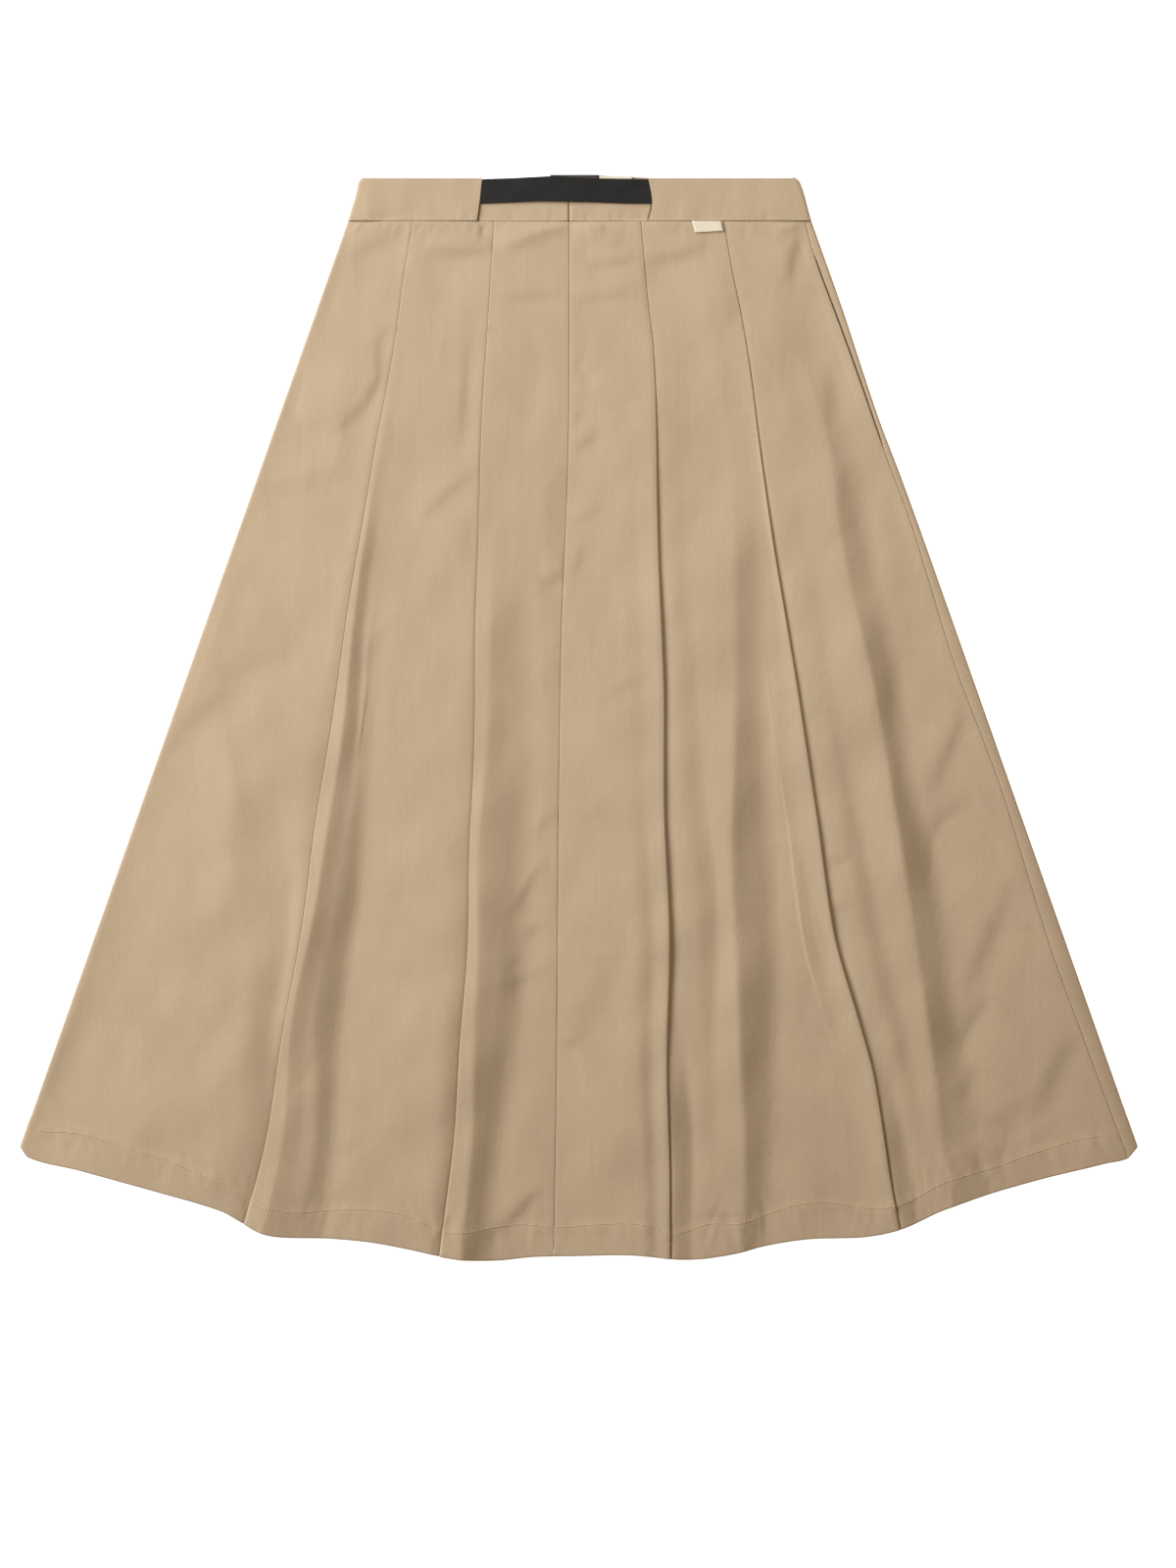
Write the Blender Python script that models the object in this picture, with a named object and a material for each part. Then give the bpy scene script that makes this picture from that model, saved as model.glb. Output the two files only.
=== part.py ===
# A pleated A-line skirt laid flat on its back panel, with the waist towards +Y and the hem
# towards -Y. Tables and sums are in millimetres, and the meshes are in metres.
# "drop" is the distance below the top edge of the waistband. "x" runs across the skirt, with
# zero halfway between its two hem corners. "height" is how far the front cloth stands above
# the level where it lies lowest.

import math

import bmesh
import bpy

# Driving sizes
BAND_TOP_Y = 450.36  # world Y where drop is zero
WAIST_DROP = 35.75  # the waist seam
HEM_SEARCH_DROP = 870.0  # a first guess for where a line of the cloth meets the hem
WALL = 1.0  # skirt cloth
BAND_WALL = 2.0  # waistband, two layers of cloth
CENTRE_WALL = 1.6  # the waistband under the strap
STRAP_WALL = 1.2
LABEL_WALL = 1.0
SEAM_GAP = 0.3
LAYER_STEP = 1.35  # from the middle of one pleat layer to the middle of the next

# Levels of the middles of the walls
BACK_Z = WALL / 2
BAND_BACK_Z = BAND_WALL / 2
POCKET_Z = WALL + SEAM_GAP + WALL / 2
FRONT_Z = POCKET_Z + WALL + SEAM_GAP  # where the front's height is zero
EDGE_Z = 5.0  # the front at both side edges
BAND_FRONT_Z = 6.0
CENTRE_Z = 4.4
STRAP_Z = 6.1
INSIDE_LABEL_Z = BAND_WALL + SEAM_GAP + LABEL_WALL / 2

# The outline from above
LEFT_EDGE = {"drop": (36, 809, 900), "x": (-193.3, -467.0, -499.0)}
RIGHT_EDGE = {
    "drop": (36, 110, 165, 205, 250, 330, 809, 900),
    "x": (194.8, 221.0, 239.0, 252.6, 269.8, 298.6, 467.0, 499.0),
}
FRONT_HEM = {
    "x": (
        -467, -460, -415, -350, -300, -284, -268, -251, -202, -169, -137, -104, -71, -38,
        -5, 44, 93, 126, 159, 192, 241, 274, 306, 372, 438, 459, 467,
    ),
    "drop": (
        808, 818, 829, 847, 862, 871, 880, 884, 886, 889, 895, 902, 904, 901,
        900, 899, 903, 899, 891, 886, 884, 876, 861, 840, 823, 818, 808,
    ),
}
BACK_HEM_MIDDLE_DROP = 895.4
BACK_HEM_CURVE = 0.00041  # how fast the back's hem rises to its corners, per mm squared

# Seams and pressed pleat edges, by drop
CENTRE_SEAM = {
    "drop": (36, 225, 380, 530, 755, 900),
    "x": (-7.8, -8.6, -14.4, -16.8, -18.5, -20.9),
}
SIDE_SEAM = {
    "drop": (36, 65, 130, 178, 225, 286, 335, 407, 508, 640, 717, 817),
    "x": (189.2, 197.0, 221.0, 238.2, 254.4, 277.0, 292.3, 314.5, 352.2, 393.2, 421.1, 458.0),
}
PLEAT_EDGES = {
    "left outer": {
        "drop": (36, 86, 125, 178, 227, 321, 391, 471, 530, 711, 795, 870, 900),
        "x": (
            -137.4, -145.6, -151.6, -160.6, -169.6, -185.3, -195.6, -207.9, -216.9, -243.9,
            -259.0, -278.0, -286.0,
        ),
    },
    "left inner": {
        "drop": (36, 86, 128, 223, 357, 448, 530, 711, 788, 843, 900),
        "x": (-69.5, -72.6, -75.5, -80.8, -85.1, -88.2, -89.5, -101.3, -106.2, -111.9, -117.5),
    },
    "right inner": {
        "drop": (36, 72, 106, 139, 221, 357, 471, 711, 755, 805, 864, 900),
        "x": (51.3, 54.5, 57.8, 61.1, 64.4, 67.7, 70.9, 74.0, 76.8, 83.2, 93.5, 99.0),
    },
    "right outer": {
        "drop": (36, 72, 120, 165, 216, 286, 380, 471, 530, 629, 702, 755, 854, 900),
        "x": (
            120.5, 126.7, 135.7, 142.3, 148.8, 159.5, 174.3, 189.0, 198.0, 212.8, 232.0,
            245.5, 262.8, 270.0,
        ),
    },
}

# Crests and valleys of the front cloth. Each row says where the line crosses the drops in
# FOLD_DROPS, and how high the cloth stands there.
FOLD_DROPS = (36, 130, 290, 490, 690, 900)
CENTRE_HEIGHT = (0.4, 0.8, 1.8, 3.8, 4.6, 5.2)
EDGE_HEIGHT = (EDGE_Z - FRONT_Z,) * len(FOLD_DROPS)
FOLDS = {
    "left centre": [
        {"x": (-24, -25, -26, -28, -31, -34), "height": (1.2, 1.8, 2.6, 4.4, 5.2, 5.5)},
        {"x": (-35, -38, -40, -43, -50, -62), "height": (1.6, 1.8, 1.5, 1.0, 0.8, 0.8)},
    ],
    "left middle": [
        {"x": (-92, -100, -118, -126, -132, -142), "height": (2.5, 2.6, 4.6, 7.6, 9.5, 9.0)},
        {"x": (-105, -120, -146, -172, -200, -227), "height": (2.4, 2.2, 2.2, 1.6, 1.2, 1.2)},
    ],
    "left side": [
        {"x": (-152, -172, -206, -256, -283, -312), "height": (2.4, 2.6, 3.8, 5.4, 7.5, 8.5)},
        {"x": (-175, -195, -246, -320, -361, -400), "height": (2.2, 2.2, 2.8, 3.6, 4.4, 4.4)},
    ],
    "right centre": [
        {"x": (12, 16, 26, 32, 30, 48), "height": (1.2, 1.8, 4.2, 7.4, 9.0, 9.5)},
    ],
    "right middle": [
        {"x": (81, 92, 102, 116, 121, 131), "height": (2.5, 2.4, 5.8, 8.2, 10.2, 10.4)},
        {"x": (91, 108, 126, 156, 168, 180), "height": (2.5, 2.4, 3.0, 1.6, 1.0, 1.0)},
    ],
    "right side": [
        {"x": (147, 172, 205, 241, 274, 300), "height": (2.4, 3.0, 5.4, 8.2, 10.2, 9.8)},
        {"x": (166, 192, 237, 274, 315, 354), "height": (2.0, 1.8, 1.5, 1.4, 1.4, 1.4)},
        {"x": (178, 209, 258, 311, 369, 420), "height": (2.1, 2.3, 2.8, 5.6, 5.8, 4.4)},
    ],
}

# Pleats. The top layer's height is given over the turn of the hidden layer and at the pleat's
# own edge.
PLEAT_DEPTH = (18, 18, 20, 22, 24, 26)  # how far the cloth runs back under each pleat
PLEAT_MARGIN = 2.0  # from a pleat's edge or turn to the lines beside it
PLEAT_HEIGHTS = {
    "left inner": {"turn": (2.7, 2.7, 3.2, 4.4, 5.2, 5.4), "edge": (2.7, 2.7, 4.6, 7.6, 9.2, 9.4)},
    "left outer": {"turn": (2.7, 2.7, 2.8, 3.2, 4.4, 5.0), "edge": (2.7, 2.7, 4.6, 7.4, 8.6, 8.2)},
    "right inner": {"turn": (2.7, 2.7, 4.2, 6.4, 7.8, 8.4), "edge": (2.7, 2.7, 4.4, 6.4, 7.8, 8.4)},
    "right outer": {"turn": (2.7, 2.7, 2.8, 5.4, 8.2, 9.0), "edge": (2.7, 2.7, 3.8, 6.4, 8.4, 9.0)},
}
FOOT_HEIGHT = (0.0, 0.0, 0.3, 0.5, 0.5, 0.5)  # the cloth beside a pleat's edge

# How finely the cloth is divided
ROW_COUNT = 20
PARTS_PER_FOLD = 2
BACK_PARTS = 12
BAND_PARTS = 4
BAND_BACK_PARTS = 24
BAND_BACK_ROWS = (0, 0.2, 0.6, 1)
STRAP_PARTS = 14
LABEL_PARTS = 4
HEM_SEARCH_STEPS = 8
TURN_ANGLES = (90, 30, -30, -90)  # degrees round a pleat's edge
EDGE_ANGLES = (90, 45, 0, -45, -90)  # degrees round a side edge
UNDERTURN = 3.0  # how far the front runs under the left edge

# Waistband, by drop
BAND_LEFT = {"drop": (0, 1.5, 3.5, 14, 27, 36), "x": (-180.6, -183.0, -184.5, -186.8, -190.7, -193.3)}
BAND_RIGHT = {"drop": (0, 1.5, 3.5, 14, 27, 36), "x": (181.0, 183.4, 185.0, 188.8, 192.2, 194.8)}
SLOT_LEFT = {"drop": (0, 22, 36), "x": (-80.6, -83.0, -85.0)}
SLOT_RIGHT = {"drop": (0, 22, 36), "x": (58.4, 61.4, 58.0)}
BAND_ROWS = (0, 1.5, 3.5, 14, 22, 29, WAIST_DROP - SEAM_GAP / 2)
CENTRE_TOP_DROP = 1.5
BAND_BACK_TOP = {
    "x": (-200, -60, -32, -8, 14, 34, 56, 90, 200),
    "drop": (0.7, 0.6, -0.6, -2.6, -3.0, -2.4, -1.2, 0.6, 0.7),
}

# Belt strap, a standard webbing
STRAP_WIDTH = 20.0
STRAP_TOP = {"x": (-82, -56, -32, -22, 8, 60), "drop": (0.9, 0.2, -0.9, -1.2, 0.2, 0.9)}
STRAP_BOTTOM = {"x": (-82, -56, -32, -8, 14, 35, 60), "drop": (21.3, 20.2, 19.2, 19.6, 20.1, 21.0, 21.3)}
STRAP_LIFT = {"x": (-82, -60, -15, 30, 60), "z": (0, 0.3, 1.2, 0.3, 0)}

# Labels
WAIST_LABEL = {"left": 94.7, "right": 119.2, "top": 36.2, "bottom": 45.9}
INSIDE_LABELS = {
    "inside_label_dark": {"left": -24.0, "right": 17.0, "top": -3.3, "bottom": 12.0},
    "inside_label_pale": {"left": 17.3, "right": 45.0, "top": -1.9, "bottom": 12.0},
}

# Pocket bag: its outline, by how far it lies in from the side seam, and by drop
POCKET_OUTLINE = {
    "in": (6, 6, 6, 6, 26, 62, 104, 134, 142, 142, 142),
    "drop": (56, 120, 180, 236, 292, 314, 312, 288, 250, 150, 56),
}

# Colours are linear RGB
CLOTH = (0.482, 0.352, 0.219)
WEBBING = (0.024, 0.024, 0.022)
CREAM = (0.86, 0.80, 0.68)
DARK_LABEL = (0.06, 0.052, 0.045)


def through(keys, values):
    # A smooth curve through the values at the keys, as a function of the key
    last = len(keys) - 1

    def slope(i):
        before = max(i - 1, 0)
        after = min(i + 1, last)
        return (values[after] - values[before]) / (keys[after] - keys[before])

    def value(key):
        i = 0
        while i < last - 1 and key > keys[i + 1]:
            i += 1
        span = keys[i + 1] - keys[i]
        t = min(max((key - keys[i]) / span, 0.0), 1.0)
        rise = values[i + 1] - values[i]
        start = slope(i) * span
        end = slope(i + 1) * span
        return values[i] + t * (start + t * (3 * rise - 2 * start - end + t * (start + end - 2 * rise)))

    return value


def curve(table, by="drop", of="x"):
    return through(table[by], table[of])


left_edge = curve(LEFT_EDGE)
right_edge = curve(RIGHT_EDGE)
centre_seam = curve(CENTRE_SEAM)
side_seam = curve(SIDE_SEAM)
front_hem = curve(FRONT_HEM, "x", "drop")
pleat_depth = through(FOLD_DROPS, PLEAT_DEPTH)


def back_hem(x):
    return BACK_HEM_MIDDLE_DROP - BACK_HEM_CURVE * x * x


def material(name, colour, roughness):
    made = bpy.data.materials.new(name)
    made.use_nodes = True
    surface = made.node_tree.nodes["Principled BSDF"]
    surface.inputs["Base Color"].default_value = (*colour, 1.0)
    surface.inputs["Roughness"].default_value = roughness
    surface.inputs["Metallic"].default_value = 0.0
    return made


def place(x, drop, z):
    # A point of the skirt in metres
    return (x / 1000, (BAND_TOP_Y - drop) / 1000, z / 1000)


def add_sheet(name, columns, drops, wall, skin):
    # A wall of cloth round the sheet of points that the columns give. Each column is a function
    # from drop to (x, z), and drops gives each column's own rows.
    mesh = bpy.data.meshes.new(name)
    sheet = bmesh.new()
    row_count = len(drops[0])
    bmesh.ops.create_grid(sheet, x_segments=len(columns) - 1, y_segments=row_count - 1, size=1)
    sheet.verts.ensure_lookup_table()
    for row in range(row_count):
        for number, column in enumerate(columns):
            drop = drops[number][row]
            x, z = column(drop)
            sheet.verts[row * len(columns) + number].co = place(x, drop, z)
    sheet.to_mesh(mesh)
    sheet.free()
    mesh.shade_smooth()
    mesh.materials.append(skin)
    panel = bpy.data.objects.new(name, mesh)
    bpy.context.scene.collection.objects.link(panel)
    solid = panel.modifiers.new("wall", "SOLIDIFY")
    solid.thickness = wall / 1000
    solid.offset = 0
    solid.use_even_offset = True
    solid.use_quality_normals = True
    return panel


def hem_drops(column, hem):
    # Rows for one column, from the waist seam to where the column meets the hem
    meets = HEM_SEARCH_DROP
    for _ in range(HEM_SEARCH_STEPS):
        meets = hem(column(meets)[0])
    top = WAIST_DROP + SEAM_GAP / 2
    return [top + (meets - top) * row / (ROW_COUNT - 1) for row in range(ROW_COUNT)]


def fold_line(x_of, heights):
    height_of = through(FOLD_DROPS, heights)
    return {"x": x_of, "z": lambda drop: FRONT_Z + height_of(drop)}


def table_line(row):
    return fold_line(through(FOLD_DROPS, row["x"]), row["height"])


def point_on(line):
    return lambda drop: (line["x"](drop), line["z"](drop))


def between(first, second, share):
    # A column between two lines, easing from one height to the other
    ease = (1 - math.cos(math.pi * share)) / 2

    def column(drop):
        x = first["x"](drop) + share * (second["x"](drop) - first["x"](drop))
        z = first["z"](drop) + ease * (second["z"](drop) - first["z"](drop))
        return x, z

    return column


def strip_columns(lines):
    # Columns on the lines, and between each two
    columns = [point_on(lines[0])]
    for first, second in zip(lines, lines[1:]):
        for part in range(1, PARTS_PER_FOLD + 1):
            columns.append(between(first, second, part / PARTS_PER_FOLD))
    return columns


def turn_column(line, out, angle, below):
    # A column round a pleat's turn: its outer edge lies below the line, its inner turn above it
    radius = LAYER_STEP / 2
    across = radius * math.cos(math.radians(angle))
    up = radius * math.sin(math.radians(angle)) - below * radius

    def column(drop):
        return line["x"](drop) + out * across, line["z"](drop) + up

    return column


def pleat_lines(name, out):
    # The lines that a pleat adds: on the strip above it, and on the strip that starts under it
    edge_x = curve(PLEAT_EDGES[name])
    heights = PLEAT_HEIGHTS[name]

    def turn_x(drop):
        return edge_x(drop) - out * pleat_depth(drop)

    def over_turn_x(drop):
        return turn_x(drop) - out * PLEAT_MARGIN

    def foot_x(drop):
        return edge_x(drop) + out * PLEAT_MARGIN

    return {
        "over": fold_line(over_turn_x, heights["turn"]),
        "edge": fold_line(edge_x, heights["edge"]),
        "turn": fold_line(turn_x, [0.0] * len(FOLD_DROPS)),
        "foot": fold_line(foot_x, FOOT_HEIGHT),
    }


def pleat_columns(lines, out):
    # From the top layer's edge, back under it, and round the inner turn
    columns = [turn_column(lines["edge"], out, angle, 1) for angle in TURN_ANGLES[1:]]
    under_edge = {"x": lines["edge"]["x"], "z": lambda drop: lines["edge"]["z"](drop) - LAYER_STEP}
    over_turn = {"x": lines["turn"]["x"], "z": lambda drop: lines["turn"]["z"](drop) + LAYER_STEP}
    columns.append(between(under_edge, over_turn, 0.5))
    columns += [turn_column(lines["turn"], -out, angle, -1) for angle in TURN_ANGLES[:-1]]
    return columns


def front_columns(side, out, seam):
    # A front half from its centre seam to its side: three strips of cloth joined by two pleats
    inner = pleat_lines(side + " inner", out)
    outer = pleat_lines(side + " outer", out)
    centre_folds = [table_line(row) for row in FOLDS[side + " centre"]]
    middle_folds = [table_line(row) for row in FOLDS[side + " middle"]]
    side_folds = [table_line(row) for row in FOLDS[side + " side"]]

    def centre_x(drop):
        return centre_seam(drop) + out * SEAM_GAP / 2

    start = fold_line(centre_x, CENTRE_HEIGHT)
    columns = strip_columns([start] + centre_folds + [inner["over"], inner["edge"]])
    columns += pleat_columns(inner, out)
    columns += strip_columns([inner["turn"], inner["foot"]] + middle_folds + [outer["over"], outer["edge"]])
    columns += pleat_columns(outer, out)
    columns += strip_columns([outer["turn"], outer["foot"]] + side_folds + [seam])
    return columns


def edge_roll(edge_x, out, top_z, bottom_z, wall, angles):
    # Columns round a side edge of the skirt, whose outer skin reaches the outline
    radius = (top_z - bottom_z) / 2
    middle_z = (top_z + bottom_z) / 2

    def column_at(angle):
        across = radius * math.cos(math.radians(angle)) - radius - wall / 2
        up = radius * math.sin(math.radians(angle))
        return lambda drop: (edge_x(drop) + out * across, middle_z + up)

    return [column_at(angle) for angle in angles]


def add_front_left(cloth):
    radius = (EDGE_Z - BACK_Z) / 2

    def top_x(drop):
        return left_edge(drop) + radius + WALL / 2

    def end_x(drop):
        return top_x(drop) + UNDERTURN

    columns = front_columns("left", -1, fold_line(top_x, EDGE_HEIGHT))
    columns += edge_roll(left_edge, -1, EDGE_Z, BACK_Z, WALL, EDGE_ANGLES[1:])
    columns.append(lambda drop: (end_x(drop), BACK_Z))
    drops = [hem_drops(column, front_hem) for column in columns]
    return add_sheet("front_left", columns, drops, WALL, cloth)


def add_front_right(cloth):
    def seam_x(drop):
        return side_seam(drop) - SEAM_GAP / 2

    columns = front_columns("right", 1, fold_line(seam_x, EDGE_HEIGHT))
    drops = [hem_drops(column, front_hem) for column in columns]
    return add_sheet("front_right", columns, drops, WALL, cloth)


def add_back(cloth):
    # Flat from the left seam, round the right edge, and back over the top to the side seam
    radius = (EDGE_Z - BACK_Z) / 2

    def start_x(drop):
        return left_edge(drop) + radius + WALL / 2 + UNDERTURN + SEAM_GAP

    def flat_end_x(drop):
        return right_edge(drop) - radius - WALL / 2

    def floor_column(share):
        return lambda drop: (start_x(drop) + share * (flat_end_x(drop) - start_x(drop)), BACK_Z)

    floor = [floor_column(part / BACK_PARTS) for part in range(BACK_PARTS + 1)]
    wrap = edge_roll(right_edge, 1, EDGE_Z, BACK_Z, WALL, EDGE_ANGLES[::-1][1:])
    wrap.append(lambda drop: (side_seam(drop) + SEAM_GAP / 2, EDGE_Z))
    drops = [hem_drops(column, back_hem) for column in floor]
    drops += [hem_drops(column, front_hem) for column in wrap]
    return add_sheet("back", floor + wrap, drops, WALL, cloth)


def spread(first, last, share):
    return lambda drop: first(drop) + share * (last(drop) - first(drop))


def level_columns(first, last, parts, z):
    def column(share):
        x_of = spread(first, last, share)
        return lambda drop: (x_of(drop), z)

    return [column(part / parts) for part in range(parts + 1)]


def band_end_x(edge_x, out):
    # Where a side section of the waistband stops, under the skirt
    radius = (BAND_FRONT_Z - BAND_BACK_Z) / 2
    return lambda drop: edge_x(drop) - out * (radius + BAND_WALL / 2 + UNDERTURN)


def add_band_side(name, slot, edge_table, out, cloth):
    # An outer section, from the strap's slot round the side edge to the back section
    slot_x = curve(slot)
    edge_x = curve(edge_table)
    radius = (BAND_FRONT_Z - BAND_BACK_Z) / 2
    end_x = band_end_x(edge_x, out)

    def top_x(drop):
        return edge_x(drop) - out * (radius + BAND_WALL / 2)

    columns = level_columns(slot_x, top_x, BAND_PARTS, BAND_FRONT_Z)
    columns += edge_roll(edge_x, out, BAND_FRONT_Z, BAND_BACK_Z, BAND_WALL, EDGE_ANGLES[1:])
    columns.append(lambda drop: (end_x(drop), BAND_BACK_Z))
    return add_sheet(name, columns, [BAND_ROWS] * len(columns), BAND_WALL, cloth)


def add_band_centre(name, first, last, cloth):
    columns = level_columns(first, last, BAND_PARTS, CENTRE_Z)
    rows = [CENTRE_TOP_DROP] + [drop for drop in BAND_ROWS if drop > CENTRE_TOP_DROP]
    return add_sheet(name, columns, [rows] * len(columns), CENTRE_WALL, cloth)


def add_band_back(cloth):
    left_end = band_end_x(curve(BAND_LEFT), -1)
    right_end = band_end_x(curve(BAND_RIGHT), 1)
    top_drop = curve(BAND_BACK_TOP, "x", "drop")
    bottom = WAIST_DROP - SEAM_GAP / 2

    def first_x(drop):
        return left_end(drop) + SEAM_GAP

    def last_x(drop):
        return right_end(drop) - SEAM_GAP

    columns = level_columns(first_x, last_x, BAND_BACK_PARTS, BAND_BACK_Z)
    drops = []
    for column in columns:
        top = top_drop(column(0)[0])
        drops.append([top + share * (bottom - top) for share in BAND_BACK_ROWS])
    return add_sheet("waistband_back", columns, drops, BAND_WALL, cloth)


def add_strap(webbing):
    # The strap lies over the centre sections, from one slot to the other
    slot_left = curve(SLOT_LEFT)
    slot_right = curve(SLOT_RIGHT)
    top_drop = curve(STRAP_TOP, "x", "drop")
    bottom_drop = curve(STRAP_BOTTOM, "x", "drop")
    lift = curve(STRAP_LIFT, "x", "z")

    def first_x(drop):
        return slot_left(drop) + SEAM_GAP

    def last_x(drop):
        return slot_right(drop) - SEAM_GAP

    def column(x_of):
        return lambda drop: (x_of(drop), STRAP_Z + lift(x_of(drop)))

    columns = []
    drops = []
    for part in range(STRAP_PARTS + 1):
        x_of = spread(first_x, last_x, part / STRAP_PARTS)
        columns.append(column(x_of))
        top = top_drop(x_of(0))
        bottom = bottom_drop(x_of(STRAP_WIDTH))
        drops.append([top, (top + bottom) / 2, bottom])
    return add_sheet("belt_strap", columns, drops, STRAP_WALL, webbing)


def add_waist_label(cream):
    # On the cloth between the two right pleats, just below the waist seam
    crests = [table_line(row) for row in FOLDS["right middle"]]
    over = pleat_lines("right outer", 1)["over"]
    lines = crests + [over]
    lift = WALL / 2 + SEAM_GAP + LABEL_WALL / 2

    def cloth_z(x, drop):
        for first, second in zip(lines, lines[1:]):
            start = first["x"](drop)
            end = second["x"](drop)
            if start <= x <= end:
                return between(first, second, (x - start) / (end - start))(drop)[1]
        return over["z"](drop)

    def column(x):
        return lambda drop: (x, cloth_z(x, drop) + lift)

    width = WAIST_LABEL["right"] - WAIST_LABEL["left"]
    columns = [column(WAIST_LABEL["left"] + width * part / LABEL_PARTS) for part in range(LABEL_PARTS + 1)]
    rows = [WAIST_LABEL["top"], WAIST_LABEL["bottom"]]
    return add_sheet("waist_label", columns, [rows] * len(columns), LABEL_WALL, cream)


def add_inside_label(name, size, skin):
    columns = level_columns(lambda drop: size["left"], lambda drop: size["right"], 1, INSIDE_LABEL_Z)
    rows = [size["top"], size["bottom"]]
    return add_sheet(name, columns, [rows] * len(columns), LABEL_WALL, skin)


def add_pocket_bag(cloth):
    # A flat pouch between front and back, along the right side seam
    mesh = bpy.data.meshes.new("pocket_bag")
    bag = bmesh.new()
    corners = []
    for inward, drop in zip(POCKET_OUTLINE["in"], POCKET_OUTLINE["drop"]):
        corners.append(bag.verts.new(place(side_seam(drop) - inward, drop, POCKET_Z)))
    bag.faces.new(corners)
    bag.to_mesh(mesh)
    bag.free()
    mesh.materials.append(cloth)
    pouch = bpy.data.objects.new("pocket_bag", mesh)
    bpy.context.scene.collection.objects.link(pouch)
    solid = pouch.modifiers.new("wall", "SOLIDIFY")
    solid.thickness = WALL / 1000
    solid.offset = 0
    return pouch


def main():
    for old in list(bpy.data.objects):
        bpy.data.objects.remove(old, do_unlink=True)
    cloth = material("twill", CLOTH, 0.85)
    webbing = material("webbing", WEBBING, 0.55)
    cream = material("cream_label", CREAM, 0.8)
    dark = material("dark_label", DARK_LABEL, 0.7)

    add_back(cloth)
    add_front_left(cloth)
    add_front_right(cloth)
    add_pocket_bag(cloth)
    add_band_back(cloth)
    add_band_side("waistband_left", SLOT_LEFT, BAND_LEFT, -1, cloth)
    add_band_side("waistband_right", SLOT_RIGHT, BAND_RIGHT, 1, cloth)
    slot_left = curve(SLOT_LEFT)
    slot_right = curve(SLOT_RIGHT)
    add_band_centre(
        "waistband_centre_left",
        lambda drop: slot_left(drop) + SEAM_GAP,
        lambda drop: centre_seam(WAIST_DROP) - SEAM_GAP / 2,
        cloth,
    )
    add_band_centre(
        "waistband_centre_right",
        lambda drop: centre_seam(WAIST_DROP) + SEAM_GAP / 2,
        lambda drop: slot_right(drop) - SEAM_GAP,
        cloth,
    )
    add_strap(webbing)
    add_waist_label(cream)
    add_inside_label("inside_label_dark", INSIDE_LABELS["inside_label_dark"], dark)
    add_inside_label("inside_label_pale", INSIDE_LABELS["inside_label_pale"], cream)


main()
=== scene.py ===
import math

import bmesh
import bpy
import numpy as np
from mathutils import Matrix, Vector
from mathutils.bvhtree import BVHTree


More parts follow.
